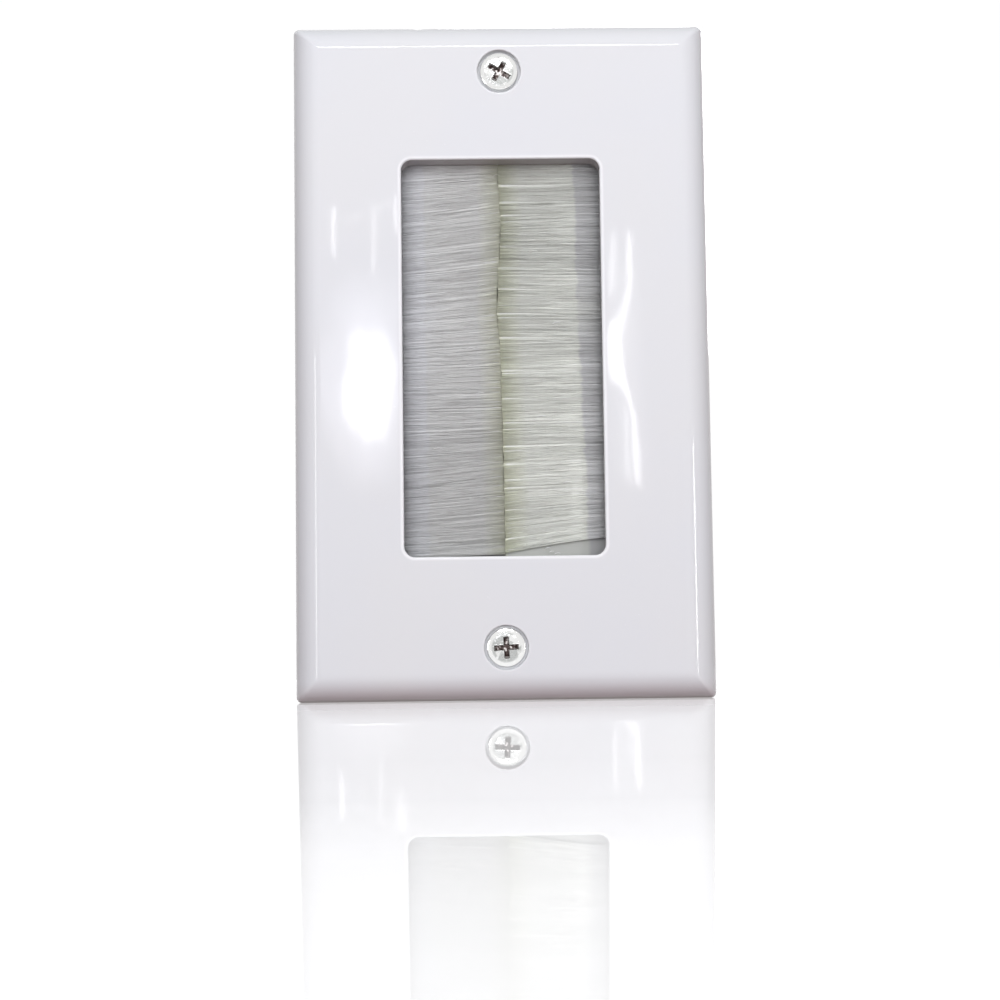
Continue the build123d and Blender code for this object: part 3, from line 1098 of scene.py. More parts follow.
@dataclass(frozen=True)
class CurtainStyle:
    """What differs between the two curtains, with lengths and heights in millimetres.

    Attributes:
        foot: Height of the lowest front bristle's root.
        lean: How far the front leans out at the window's foot and at its top.
        wave: Height of the slow waves over the front.
        pull: Share by which a bristle moves to its lock's middle, and how far locks differ in it.
        gather: Share by which it moves to the middle of its broad lock.
        swing: How far a lock's tips may stand above or below its roots.
        proud: How far a lock may stand out.
        tones: Spread of lightness of locks, broad locks and bristles, and a bright bristle's extra.
        sheen: Share of that spread at the seam, at 5 mm and at 11.5 mm from the plate's middle.
        drift: Rows of height and how far a tip stands above its root there.
        bound: Distance from the plate's middle at which the roots' grey ends, at foot and top.
        soft: Half the width of that edge.
        base: Colour of the bristles.
        roots: What it is multiplied by at the roots; on the right its grey is painted shadow of the window's
            edge, over the lamp's own shadow.
        levels: Rows of height and what the colour is multiplied by there, as painted shade that changes with
            height.
        fold_shade: How much darker the painted shade in the crease beside the roots is.
        shade: How much darker the mat is below the lowest front bristle.
        strays: Rows of middle along X, middle along Z and length of the bristles that stand clear.
    """

    foot: float
    lean: tuple[float, float]
    wave: float
    pull: tuple[float, float]
    gather: float
    swing: float
    proud: float
    tones: tuple[float, float, float, float]
    sheen: tuple[float, float, float]
    drift: tuple[tuple[float, float], ...]
    bound: tuple[float, float]
    soft: float
    base: Colour
    roots: Colour
    levels: tuple[tuple[float, float], ...]
    fold_shade: float
    shade: float
    strays: tuple[tuple[float, float, float], ...]


STYLES = {
    Side.LEFT: CurtainStyle(
        foot=-33.35, lean=(0.25, 0.0), wave=0.06, pull=(0.07, 0.05), gather=0.05, swing=0.10, proud=0.010,
        tones=(0.012, 0.028, 0.025, 0.10), sheen=(1.0, 1.0, 1.0),
        drift=(
            (-34, 0.5), (-33, 0.6), (-30, 1.0), (-20, 1.9), (-12, 0.5), (-9, 0.3), (0, 0.9), (12, 1.7),
            (24, 2.2), (34, 0.0),
        ),
        bound=(12.6, 12.9), soft=0.4, base=(0.650, 0.652, 0.636), roots=(1.10, 1.11, 1.16),
        levels=((-34, 0.90), (-14, 0.92), (-2, 1.07), (20, 1.03), (34, 1.02)), fold_shade=0.10, shade=0.70,
        strays=(
            (-5.4, 1.9, 1.6), (-1.7, 3.7, 1.2), (-5.0, -0.9, 2.2), (-3.9, -5.8, 1.6), (-4.6, -23.4, 2.4),
            (-0.6, 31.6, 1.0), (-9.8, 26.4, 2.6), (-3.2, 12.6, 1.8), (-11.0, -15.0, 2.0),
        ),
    ),
    Side.RIGHT: CurtainStyle(
        foot=-29.9, lean=(0.65, -0.1), wave=0.11, pull=(0.12, 0.09), gather=0.12, swing=0.17, proud=0.018,
        tones=(0.030, 0.070, 0.035, 0.15), sheen=(0.45, 0.8, 1.5),
        drift=(
            (-34, -0.2), (-30, -2.6), (-26, -1.7), (-22, -1.0), (-12, -0.4), (0, -0.2), (12, 0.3), (24, -0.5),
            (34, 0.0),
        ),
        bound=(14.1, 12.4), soft=0.14, base=(0.680, 0.693, 0.642), roots=(0.80, 0.79, 0.85),
        levels=((-34, 1.13), (-8, 1.12), (5, 1.05), (20, 0.92), (34, 0.92)), fold_shade=0.0, shade=0.42,
        strays=(
            (7.2, -32.0, 0.9), (7.8, -32.6, 0.8), (8.8, -32.9, 1.0), (15.9, -28.2, 0.7), (5.5, 18.4, 1.6),
            (9.2, 6.1, 1.4), (6.4, -9.8, 1.8), (10.6, -21.0, 1.5),
        ),
    ),
}


@dataclass
class BristleCurtain:
    """One curtain of nylon bristles: a packed mat with thousands of fine filaments over it.

    Attributes:
        side: Which of the two curtains it is.
        style: What differs from the other curtain.
        count: Filaments over each face of the mat.
        root: Distance of the roots from the plate's middle.
        half_height: Half the curtain's height.
        radius: Radius of a filament at its root.
        stray_stations: Points along each filament that stands clear.
        layer: Thickness of the filaments' layer over the mat.
        lock_widths: Mean widths of a lock and of a broad lock.
        grip: Half the curtain's thickness at the roots.
        fan: The same where it has fanned out.
        fan_reach: Distances from the plate's middle between which it fans out.
        groove: Half the width of the groove along the seam, and its depth.
        seam: Rows of height and place along X of the seam, in millimetres.
        seam_wander: How far the seam wanders, and over what height.
        bound_wander: The same for the edge of the roots' grey.
        tip_gap: Spread of the gaps between the tips and the seam.
        back_shift: How far the seam at the back stands aside.
        scatter: Spread of the tips' heights, of the bends' and of the tips' depths.
        bright_share: Share of filaments that are bright.
        sheen_reach: Distances from the plate's middle of the style's three shares of sheen.
        olive: What the colour is multiplied by beside the seam.
        olive_reach: Distances from the seam at which the olive starts and is full.
        mat_rows: Rows of the mat and points across each of its faces.
        hem_soft: Half the height over which the mat is pushed back below the lowest bristle.
        under: How far it is pushed back there.
    """

    side: Side
    style: CurtainStyle
    count: int = 6000
    root: float = 20.0 * MM
    half_height: float = 34.0 * MM
    radius: float = 0.055 * MM
    stray_stations: int = 6
    layer: float = 0.34 * MM
    lock_widths: tuple[float, float] = (0.75 * MM, 3.6 * MM)
    grip: float = 0.80 * MM
    fan: float = 1.35 * MM
    fan_reach: tuple[float, float] = (18.6 * MM, 12.0 * MM)
    groove: tuple[float, float] = (0.7 * MM, 0.06 * MM)
    seam: tuple[tuple[float, float], ...] = (
        (-34.0, 0.15), (-31.6, 0.12), (-20.2, 0.05), (-4.6, -0.25), (2.0, -0.3), (8.3, -0.85), (15.0, -0.45),
        (23.6, 0.0), (31.5, -0.4), (34.0, -0.4),
    )
    seam_wander: tuple[float, float] = (0.08 * MM, 1.3 * MM)
    bound_wander: tuple[float, float] = (0.3 * MM, 0.7 * MM)
    tip_gap: float = 0.06 * MM
    back_shift: float = 0.28 * MM
    scatter: tuple[float, float, float] = (0.10 * MM, 0.05 * MM, 0.04 * MM)
    bright_share: float = 0.05
    sheen_reach: tuple[float, float, float] = (0.0, 5.0 * MM, 11.5 * MM)
    olive: Colour = (1.02, 1.03, 0.87)
    olive_reach: tuple[float, float] = (0.7 * MM, 0.15 * MM)
    mat_rows: tuple[int, int] = (300, 30)
    hem_soft: float = 0.1 * MM
    under: float = 0.55 * MM

    def __post_init__(self) -> None:
        """Starts the random numbers and the curves that every layer shares."""
        self.rng = np.random.default_rng([SEED, self.side.value + 1])
        self.knots = self.rng.uniform(-1.0, 1.0, (4, 600))
        self.word = self.side.name.lower()
        self.foot = self.style.foot * MM

    def wander(self, place: np.ndarray, size: float, row: int) -> np.ndarray:
        """Smooth random curve: random knots that far apart, joined by cubic ease.

        Args:
            place: Where to read it.
            size: Distance between knots.
            row: Which of the curtain's rows of knots it takes.

        Returns:
            Values from -1 to 1.
        """
        step = (place + 40.0 * MM) / size
        index = np.clip(step.astype(int), 0, self.knots.shape[1] - 2)
        ease = smooth_step(0.0, 1.0, step - index)
        return self.knots[row][index] * (1 - ease) + self.knots[row][index + 1] * ease

    def locks(self, place: np.ndarray, width: float) -> tuple[np.ndarray, np.ndarray]:
        """Which lock each filament belongs to, in locks of uneven width.

        Args:
            place: Heights of the roots.
            width: Mean width of a lock.

        Returns:
            Each filament's lock number and the middle of that lock.
        """
        widths = self.rng.uniform(0.45, 1.55, int(2.2 * self.half_height / width)) * width
        edges = -self.half_height + np.cumsum(widths)
        edges = edges[edges < self.half_height]
        number = np.searchsorted(edges, place)
        bounds = np.concatenate([[-self.half_height], edges, [self.half_height]])
        return number, (bounds[number] + bounds[number + 1]) / 2

    def seam_at(self, height: np.ndarray) -> np.ndarray:
        """Place of the seam along X at each height, between its named points."""
        z, x = np.array(self.seam).T * MM
        far, size = self.seam_wander
        return np.interp(height, z, x) + far * self.wander(height, size, 3)

    def between(self, height: np.ndarray, ends: tuple[float, float]) -> np.ndarray:
        """Length that changes evenly from the foot to the top, between two given in millimetres."""
        return np.interp(height, [-self.half_height, self.half_height], np.array(ends) * MM)

    def bound_at(self, height: np.ndarray) -> np.ndarray:
        """Distance from the plate's middle at which the roots' grey ends, with an uneven edge."""
        far, size = self.bound_wander
        return self.between(height, self.style.bound) + far * self.wander(height, size, 2)

    def drift(self, height: np.ndarray) -> np.ndarray:
        """How far a bristle's tip stands above its root, by height."""
        z, rise = np.array(self.style.drift, float).T * MM
        return np.interp(height, z, rise)

    def hem(self, reach: np.ndarray) -> np.ndarray:
        """Height of the lowest front bristle: its root's, plus its drift times its share to the 1.3."""
        share = np.clip(1.0 - reach / self.root, 0.0, 1.0)
        return self.foot + self.drift(np.full_like(reach, self.foot)) * share ** 1.3

    def front(self, reach: np.ndarray, height: np.ndarray) -> np.ndarray:
        """How far the curtain's front stands out from its middle.

        It is gripped thin at the root and fans out towards the window. A groove follows the seam,
        slow waves cross it, and it leans a little more towards the room at its foot.

        Args:
            reach: Distance from the plate's middle, towards the root.
            height: Height along Z.

        Returns:
            Distance towards the room.
        """
        out = smooth_step(*self.fan_reach, reach)
        lean = self.between(height, self.style.lean)
        size = self.style.wave * MM
        waves = size * (self.wander(height, 5.0 * MM, 0) + 0.3 * self.wander(height, 1.6 * MM, 1))
        from_seam = np.abs(reach * self.side.value - self.seam_at(height))
        groove = smooth_step(self.groove[0], 0.0, from_seam) * self.groove[1]
        return self.grip + out * (self.fan - self.grip + lean + waves) - groove

    def paths(self, towards_room: bool) -> tuple[np.ndarray, np.ndarray]:
        """Centre lines of the filaments over one face of the mat.

        Each has six stations, and two of them stand close together where the roots' grey ends.
        With s the share of the way from root to tip: the height is the root's, plus the drift times
        s to the 1.3, plus a pull towards the lock's middle and the lock's swing, both times a smooth
        rise of s. The depth follows the curtain's front, less each filament's own place in the
        thin layer.

        Args:
            towards_room: Which face of the mat they cover.

        Returns:
            Points (filament, station, 3) and each filament's lightness.
        """
        rng, style, one_each = self.rng, self.style, (self.count, 1)
        foot = self.foot if towards_room else -self.half_height
        root_z = np.sort(rng.uniform(foot, self.half_height, self.count))
        turn = 1.0 - self.bound_at(root_z + self.drift(root_z) * 0.24) / self.root
        share = np.stack([
            np.zeros(self.count), turn - 0.012, turn + 0.012, turn * 0.65 + 0.35, turn * 0.3 + 0.7,
            np.ones(self.count),
        ], axis=1)
        fine, fine_middle = self.locks(root_z, self.lock_widths[0])
        broad, broad_middle = self.locks(root_z, self.lock_widths[1])
        tones = rng.uniform(-1.0, 1.0, (4, fine.max() + 1))
        proud, lock_light, swing, pull = (row[fine] for row in tones)
        broad_light = rng.uniform(-1.0, 1.0, broad.max() + 1)[broad]
        rise = smooth_step(0.1, 1.0, share)
        z = root_z[:, None] + self.drift(root_z)[:, None] * share ** 1.3
        z = z + (fine_middle - root_z)[:, None] * (style.pull[0] + style.pull[1] * pull[:, None]) * rise
        z = z + (broad_middle - root_z)[:, None] * style.gather * rise
        z = z + swing[:, None] * style.swing * MM * rise
        z = z + rng.normal(0.0, self.scatter[0], one_each) * share
        z = z + rng.normal(0.0, self.scatter[1], one_each) * np.sin(share * math.pi * 1.9)
        z = np.clip(z, -self.half_height, self.half_height)

        shift = 0.0 if towards_room else self.back_shift
        gap = np.abs(rng.normal(0.0, self.tip_gap, self.count))
        tip_x = self.seam_at(z[:, -1]) + self.side.value * gap + shift
        root_x = self.side.value * self.root
        x = root_x + (tip_x - root_x)[:, None] * share

        deep = rng.uniform(0.0, 1.0, one_each) ** 0.8 * self.layer
        y = self.front(np.abs(x), z) - deep
        y = y + proud[:, None] * style.proud * MM * smooth_step(17.5 * MM, 13.0 * MM, np.abs(x))
        y = y + rng.normal(0.0, self.scatter[2], one_each) * share
        lock, clump, single, bright = style.tones
        light = lock * lock_light + clump * broad_light + rng.normal(0.0, single, self.count)
        light += bright * (rng.random(self.count) < self.bright_share)
        return np.stack([x, -y if towards_room else y, z], axis=-1), light

    def stray_paths(self) -> tuple[np.ndarray, np.ndarray]:
        """Centre lines of the few filaments that stand clear and catch the light, with their lightness raised
        as painted glints.

        Each bows out over its own middle: its depth follows a sine of the share along it.

        Returns:
            Points (filament, station, 3) and each filament's lightness.
        """
        share = np.linspace(0.0, 1.0, self.stray_stations)[None]
        middle_x, middle_z, length = (np.array(part)[:, None] * MM for part in zip(*self.style.strays))
        x = middle_x + (share - 0.5) * length
        z = middle_z + (share - 0.5) * length * 0.12 + np.sin(share * math.pi) * 0.12 * MM
        y = self.front(np.abs(x), z) + np.sin(share * math.pi) * 0.22 * MM - 0.05 * MM
        # A lightness of 0.5 paints them nearly white, as painted glints.
        return np.stack([x, -y, z], axis=-1), np.full(len(self.style.strays), 0.5)

    def tints(self, places: np.ndarray, light: np.ndarray) -> np.ndarray:
        """Colour at each point: its curtain's own white, olive towards the seam, greyer roots and painted
        shade.

        Args:
            places: Points, in any shape, with x, y and z last.
            light: Lightness of each, which fits that shape.

        Returns:
            Colours in the same shape.
        """
        style = self.style
        x, z = places[..., 0], places[..., 2]
        near = smooth_step(*self.olive_reach, np.abs(x - self.seam_at(z)))[..., None]
        edge, soft = self.bound_at(z), style.soft * MM
        bound = smooth_step(edge - soft, edge + soft, np.abs(x))[..., None]
        # Painted shade that changes with height.
        heights, levels = np.array(style.levels).T
        # Painted shade in the crease just past the roots' grey.
        fold_shade = style.fold_shade * np.exp(-((np.abs(x) - edge - 0.4 * MM) / (0.7 * MM)) ** 2)
        level = (np.interp(z, heights * MM, levels) - fold_shade)[..., None]
        colour = np.array(style.base) * level * (1 - near + near * np.array(self.olive))
        # On the right, the roots' grey is painted shadow of the window's edge, over the lamp's own shadow.
        colour = colour * (1 - bound + bound * np.array(style.roots))
        return np.clip(colour * (1.0 + light[..., None]), 0.02, 0.95)

    def tubes(
        self, name: str, paths: np.ndarray, light: np.ndarray, finish: bpy.types.Material
    ) -> bpy.types.Object:
        """Filaments as three-sided tubes.

        At each station the three corners stand round the centre line in the plane across it, and
        the radius narrows a little towards the tip.

        Args:
            name: The piece's name.
            paths: Centre lines.
            light: Each filament's lightness.
            finish: The bristles' material.

        Returns:
            The piece.
        """
        rng, (count, stations) = self.rng, paths.shape[:2]
        ahead = np.gradient(paths, axis=1)
        ahead /= np.linalg.norm(ahead, axis=-1, keepdims=True)
        upright = np.cross(ahead, np.array((0.0, 1.0, 0.0)))
        upright /= np.linalg.norm(upright, axis=-1, keepdims=True)
        outward = np.cross(ahead, upright)
        spin = rng.uniform(0.0, 2 * math.pi, (count, 1, 1)) + np.arange(3) * 2 * math.pi / 3
        taper = self.radius * (1.0 - 0.3 * np.linspace(0.0, 1.0, stations) ** 3)[None, :, None]
        thick = taper * rng.uniform(0.8, 1.15, (count, 1, 1))
        ring = upright[:, :, None] * np.cos(spin)[..., None] + outward[:, :, None] * np.sin(spin)[..., None]
        points = paths[:, :, None] + ring * thick[..., None]
        index = np.arange(count * stations * 3).reshape(count, stations, 3)
        across = np.roll(index, -1, axis=2)
        quads = np.stack([index[:, :-1], across[:, :-1], across[:, 1:], index[:, 1:]], axis=-1).reshape(-1, 4)
        ends = np.concatenate([index[:, 0, ::-1], index[:, -1]])
        shell = Shell(name)
        shell.add(points.reshape(-1, 3), [quads, ends])
        piece = shell.build(weld=0.0, sharp=180.0, weighted=False)
        shown = np.interp(np.abs(points[..., 0]), self.sheen_reach, self.style.sheen)
        colours = self.tints(points, light[:, None, None] * shown)
        return self.dress(piece, colours, finish)

    def mat(self, finish: bpy.types.Material) -> bpy.types.Object:
        """The packed bristles under the filaments, as one closed body.

        Each row is a loop at one height: out along the front from the root to the seam and home
        along the back, with the depth that the curtain's front gives, less the filaments' layer.

        Args:
            finish: The bristles' material.

        Returns:
            The piece.
        """
        rows, across = self.mat_rows
        z = np.linspace(-self.half_height + 0.05 * MM, self.half_height - 0.05 * MM, rows)[:, None]
        share = np.linspace(0.0, 1.0, across)[None]
        root_x = self.side.value * (self.root + 0.1 * MM)
        tip_x = self.seam_at(z) + self.side.value * 0.03 * MM
        x = root_x + (tip_x - root_x) * share
        below = smooth_step(self.hem_soft, -self.hem_soft, z - self.hem(np.abs(x)))
        depth = self.front(np.abs(x), z * np.ones_like(x)) - self.layer * 0.55
        front = -depth + below * np.minimum(self.under, depth * 0.6)
        x, depth = np.concatenate([x, x[:, ::-1]], axis=1), np.concatenate([front, depth[:, ::-1]], axis=1)
        grid = np.stack([x, depth, z * np.ones_like(x)], axis=-1)
        shell = Shell(f"{self.word}_bristle_mat")
        shell.patch(grid)
        shell.fill([grid[0]])
        shell.fill([grid[-1]])
        piece = shell.build(sharp=50.0)
        points = np.empty(len(piece.data.vertices) * 3, np.float32)
        piece.data.vertices.foreach_get("co", points)
        points = points.reshape(-1, 3).astype(float)
        # The mat is painted darker than the filaments over it, and darker still below the lowest front
        # bristle: painted shade.
        over_hem = points[:, 2] - self.hem(np.abs(points[:, 0]))
        below = smooth_step(self.hem_soft, -self.hem_soft, over_hem)
        shade = self.style.shade * below * (points[:, 1] < 0.0)
        colours = self.tints(points, -0.08 - shade)
        return self.dress(piece, colours, finish)

    def dress(
        self, piece: bpy.types.Object, colours: np.ndarray, finish: bpy.types.Material
    ) -> bpy.types.Object:
        """Gives a piece of the curtain its colours and material.

        Args:
            piece: The piece.
            colours: Colour of each of its points.
            finish: The bristles' material.

        Returns:
            The piece.
        """
        colours = colours.reshape(-1, 3)
        attribute = piece.data.attributes.new("tint", "FLOAT_COLOR", "POINT")
        attribute.data.foreach_set("color", np.c_[colours, np.ones(len(colours))].astype(np.float32).ravel())
        piece.data.materials.append(finish)
        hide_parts(f"{self.word}_bristles")
        return piece

    def build(self, finish: bpy.types.Material) -> list[bpy.types.Object]:
        """Makes and dresses the curtain.

        Args:
            finish: The bristles' material.

        Returns:
            Its pieces.
        """
        return [
            self.tubes(f"{self.word}_bristles_front", *self.paths(True), finish),
            self.tubes(f"{self.word}_bristles_back", *self.paths(False), finish),
            self.mat(finish),
            self.tubes(f"{self.word}_stray_bristles", *self.stray_paths(), finish),
        ]


# Floor, lamps and camera

@dataclass
class Floor:
    """Pale polished floor that falls gently towards the viewer and keeps the plate's shadow.

    It is level up to the landing in front of the plate's upright wall.

    Attributes:
        fall: Slope in front of the landing, in degrees.
        reach: How far the slope goes on towards the viewer.
        wall: Distance from the mounting surface at which the landing starts.
        landing: Width of the landing, a level strip in front of the plate's upright wall.
        behind: How far the level part goes on behind the plate's front.
        half_width: Half the floor's width.
        mirror: Rows of distance from the plate's front, in millimetres, and the share mirrored.
        lit: Colour under the lamps, which keeps the shadow.
        glow: Strength of its own white.
        bounce: Colour that it throws on the plate.
    """

    fall: float = 5.5
    reach: float = 0.7
    wall: float = 2.2 * MM
    landing: float = 8.3 * MM
    behind: float = 0.20
    half_width: float = 0.6
    mirror: tuple[tuple[float, float], ...] = (
        (0.0, 0.66), (25.0, 0.64), (62.0, 0.61), (90.0, 0.54), (117.0, 0.32), (137.0, 0.25), (170.0, 0.17),
        (240.0, 0.0),
    )
    lit: Colour = (0.62, 0.62, 0.62)
    glow: float = 0.82
    bounce: Colour = (0.15, 0.03, 0.04)

    def build(self) -> bpy.types.Object:
        """Makes the floor: level under the plate, then a fall about X towards the viewer."""
        low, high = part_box("cover_plate")
        slope = math.tan(math.radians(self.fall))
        edge = -self.wall - self.landing
        y = np.array([edge - self.reach, edge, low.y + self.behind])
        x = np.array([-self.half_width, self.half_width])
        grid_x, grid_y = np.meshgrid(x, y)
        grid = np.stack([grid_x, grid_y, low.z + np.minimum(grid_y - edge, 0.0) * slope], axis=-1)
        mesh = bpy.data.meshes.new("floor")
        mesh.from_pydata(grid.reshape(-1, 3).tolist(), [], [(0, 1, 3, 2), (2, 3, 5, 4)])
        piece = bpy.data.objects.new("floor", mesh)
        bpy.context.scene.collection.objects.link(piece)
        mesh.materials.append(self.finish(low.y))
        return piece

    def finish(self, front: float) -> bpy.types.Material:
        """White to the camera and in gloss, with the shadow kept and a mirror that fades out.

        Args:
            front: The plate's front along Y, from which the mirror fades.

        Returns:
            The material.
        """
        recipe = Recipe.named("pale_floor")
        _, y, _ = recipe.axes(recipe.place())
        path = recipe.node("ShaderNodeLightPath", {}, {})
        away = abs(front / MM - y)
        last = self.mirror[-1][0]
        stops = [(distance / last, (share,) * 3) for distance, share in self.mirror]
        ramp = recipe.node("ShaderNodeValToRGB", {"stops": stops}, {"Fac": away * (1 / last)})
        fade = recipe.flow(recipe.node("ShaderNodeRGBToBW", {}, {0: recipe.flow(ramp)}))
        lit = recipe.node("ShaderNodeBsdfDiffuse", {}, {"Color": self.lit})
        glow = recipe.node("ShaderNodeEmission", {}, {"Color": (1.0, 1.0, 1.0), "Strength": self.glow})
        white = recipe.node("ShaderNodeAddShader", {}, {0: lit.outputs[0], 1: glow.outputs[0]})
        polish = recipe.node("ShaderNodeBsdfGlossy", {}, {"Color": (1.0, 1.0, 1.0), "Roughness": 0.0})
        seen = recipe.node("ShaderNodeMixShader", {}, {0: fade, 1: white.outputs[0], 2: polish.outputs[0]})
        bounce = recipe.node("ShaderNodeBsdfDiffuse", {}, {"Color": self.bounce})
        camera = recipe.flow(path, "Is Camera Ray")
        glossy = recipe.flow(path, "Is Glossy Ray")
        through = recipe.flow(path, "Is Transmission Ray")
        plain = recipe.node("ShaderNodeMixShader", {}, {
            0: glossy.most(through), 1: bounce.outputs[0], 2: white.outputs[0],
        })
        mixed = recipe.node("ShaderNodeMixShader", {}, {0: camera, 1: plain.outputs[0], 2: seen.outputs[0]})
        clear = recipe.node("ShaderNodeBsdfTransparent", {}, {})
        geometry = recipe.node("ShaderNodeNewGeometry", {}, {})
        both = recipe.node("ShaderNodeMixShader", {}, {
            0: recipe.flow(geometry, "Backfacing"), 1: mixed.outputs[0], 2: clear.outputs[0],
        })
        return recipe.finish(both)


@dataclass(frozen=True)
class StudioCamera:
    """Camera at the photograph's viewing angle.

    Attributes:
        azimuth: Its bearing round the plate, in degrees.
        elevation: Its height over the target, in degrees.
        roll: Its turn about its own line of sight, in degrees.
        distance: Its distance from the target.
        target: What it looks at.
        lens: Its focal length in millimetres.
    """

    azimuth: float = -0.785
    elevation: float = -4.46
    roll: float = -0.757
    distance: float = 0.3041
    target: tuple[float, float, float] = (-0.68 * MM, 0.0, -23.65 * MM)
    lens: float = 65.0

    def back(self) -> Vector:
        """Direction from the target to the camera."""
        azimuth, elevation = math.radians(self.azimuth), math.radians(self.elevation)
        flat = math.cos(elevation)
        return Vector((math.sin(azimuth) * flat, -math.cos(azimuth) * flat, math.sin(elevation)))

    def place(self) -> Vector:
        """Where the camera stands."""
        return Vector(self.target) + self.back() * self.distance

    def build(self) -> bpy.types.Object:
        """Makes the camera and sets it."""
        data = bpy.data.cameras.new("camera")
        data.lens = self.lens
        data.clip_start, data.clip_end = 0.01, 10.0
        camera = bpy.data.objects.new("camera", data)
        bpy.context.scene.collection.objects.link(camera)
        turn = self.back().to_track_quat("Z", "Y").to_matrix().to_4x4()
        spin = Matrix.Rotation(math.radians(self.roll), 4, "Z")
        camera.matrix_world = Matrix.Translation(self.place()) @ turn @ spin
        bpy.context.scene.camera = camera
        return camera


@dataclass(frozen=True)
class Lamp:
    """Rectangular lamp aimed at the plate.

    Attributes:
        name: Its name.
        bearing: Its bearing round the plate, in degrees.
        height: Its height, in degrees.
        distance: Its distance from the plate.
        size: Its width and height.
        share: Its share of the light on the front or the back.
        colour: Its colour.
    """

    name: str
    bearing: float
    height: float
    distance: float
    size: tuple[float, float]
    share: float
    colour: Colour = (1.0, 1.0, 1.0)

    def build(self) -> bpy.types.Object:
        """Makes the lamp: a share of 1 lights a front that faces it so that white renders as 1."""
        bearing, height = math.radians(self.bearing), math.radians(self.height)
        facing = math.cos(bearing) * math.cos(height)
        away = Vector((math.sin(bearing) * math.cos(height), -facing, math.sin(height)))
        data = bpy.data.lights.new(self.name, "AREA")
        data.shape = "RECTANGLE"
        data.size, data.size_y = self.size
        data.color = self.colour
        data.energy = self.share * math.pi ** 2 * self.distance ** 2 / abs(facing)
        lamp = bpy.data.objects.new(self.name, data)
        bpy.context.scene.collection.objects.link(lamp)
        lamp.location = away * self.distance
        lamp.rotation_mode = "QUATERNION"
        lamp.rotation_quaternion = away.to_track_quat("Z", "Y")
        return lamp


@dataclass(frozen=True)
class MirroredLamp:
    """Small lamp placed so that the flat front mirrors it along a line, as the photograph shows.

    Attributes:
        name: Its name.
        start: Place (x, z) on the front of one end of its reflection, in millimetres.
        end: Place of the other end.
        width: Width of the reflection, in millimetres.
        radiance: How bright it is.
        soft: Share of its width and length over which it fades out.
        power: Shape of its ends, from an oval at 2 to a strip.
        uneven: How uneven its edge is.
        colour: Its colour.
        reach: Its distance from the front along the mirrored ray.
    """

    name: str
    start: tuple[float, float]
    end: tuple[float, float]
    width: float
    radiance: float
    soft: float
    power: float = 8.0
    uneven: float = 0.0
    colour: Colour = (1.0, 1.0, 1.0)
    reach: float = 1.2

    def mirrored(self, spot: tuple[float, float], camera: StudioCamera) -> Vector:
        """Where the lamp stands for one spot on the front.

        The ray from the camera to the spot is mirrored in the front and followed for the reach.

        Args:
            spot: Place (x, z) on the front in millimetres.
            camera: The camera that sees the spot.

        Returns:
            The place.
        """
        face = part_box("cover_plate")[0].y
        place = Vector((spot[0] * MM, face, spot[1] * MM))
        ray = place - camera.place()
        return place + Vector((ray.x, -ray.y, ray.z)).normalized() * self.reach

    def build(self, camera: StudioCamera) -> bpy.types.Object:
        """Makes the lamp between the places for its two ends, turned to face the plate.

        Args:
            camera: The camera that sees the spots.

        Returns:
            The lamp.
        """
        first, last = self.mirrored(self.start, camera), self.mirrored(self.end, camera)
        middle = (first + last) / 2
        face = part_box("cover_plate")[0].y
        spot = Vector(((self.start[0] + self.end[0]) / 2 * MM, face, (self.start[1] + self.end[1]) / 2 * MM))
        view = (spot - camera.place()).length
        data = bpy.data.lights.new(self.name, "AREA")
        data.shape = "RECTANGLE"
        data.size = self.width * MM * (self.reach + view) / view
        data.size_y = (first - last).length
        data.energy = self.radiance * math.pi * data.size * data.size_y
        self.soften(data)
        lamp = bpy.data.objects.new(self.name, data)
        bpy.context.scene.collection.objects.link(lamp)
        back = (middle - spot).normalized()
        up = (first - last).normalized()
        right = up.cross(back).normalized()
        up = back.cross(right)
        lamp.matrix_world = Matrix.Translation(middle) @ Matrix((right, up, back)).transposed().to_4x4()
        return lamp

    def soften(self, data: bpy.types.AreaLight) -> None:
        """Lets the lamp fade to its edge.

        With u and v from -1 to 1 across it, its strength falls as the sum of their powers nears 1.
        A power of 2 gives an oval and a higher one a strip with short ends. Noise makes the edge
        uneven, as on glass that has been wiped.

        Args:
            data: The lamp.
        """
        recipe = Recipe(data, "ShaderNodeOutputLight")
        geometry = recipe.node("ShaderNodeNewGeometry", {}, {})
        u, v, _ = recipe.axes(recipe.flow(geometry, "Parametric") * 2.0 - 1.0)
        wiped = recipe.noise(recipe.vector(u * 2.0, v * 2.0, 0.0), 1.0, 4.0, 0.6) - 0.5
        size = abs(u) ** 2.0 + abs(v) ** self.power + wiped * self.uneven
        inside = recipe.range(abs(u).most(abs(v)), 1.0, 0.9)
        fade = recipe.range(size, 1.0, 1.0 - self.soft) * inside
        recipe.finish(recipe.node("ShaderNodeEmission", {}, {"Color": self.colour, "Strength": fade}))


@dataclass(frozen=True)
class SkyGlow:
    """Broad round patch of soft light in the sky, such as a lit screen, which gloss doesn't show.

    Its strength at an angle from its middle is the cosine of that angle to a power.
    """

    bearing: float
    height: float
    colour: Colour
    power: float = 4.0

    def share(self, recipe: Recipe, parts: tuple[Flow, Flow, Flow]) -> Flow:
        """Strength in each direction of the sky.

        Args:
            recipe: The world's nodes.
            parts: The direction's three parts.

        Returns:
            The strength, from 0 to 1.
        """
        bearing, height = math.radians(self.bearing), math.radians(self.height)
        x, y, z = parts
        across = x * (math.sin(bearing) * math.cos(height)) + y * (-math.cos(bearing) * math.cos(height))
        return (across + z * math.sin(height)).most(0.0) ** self.power


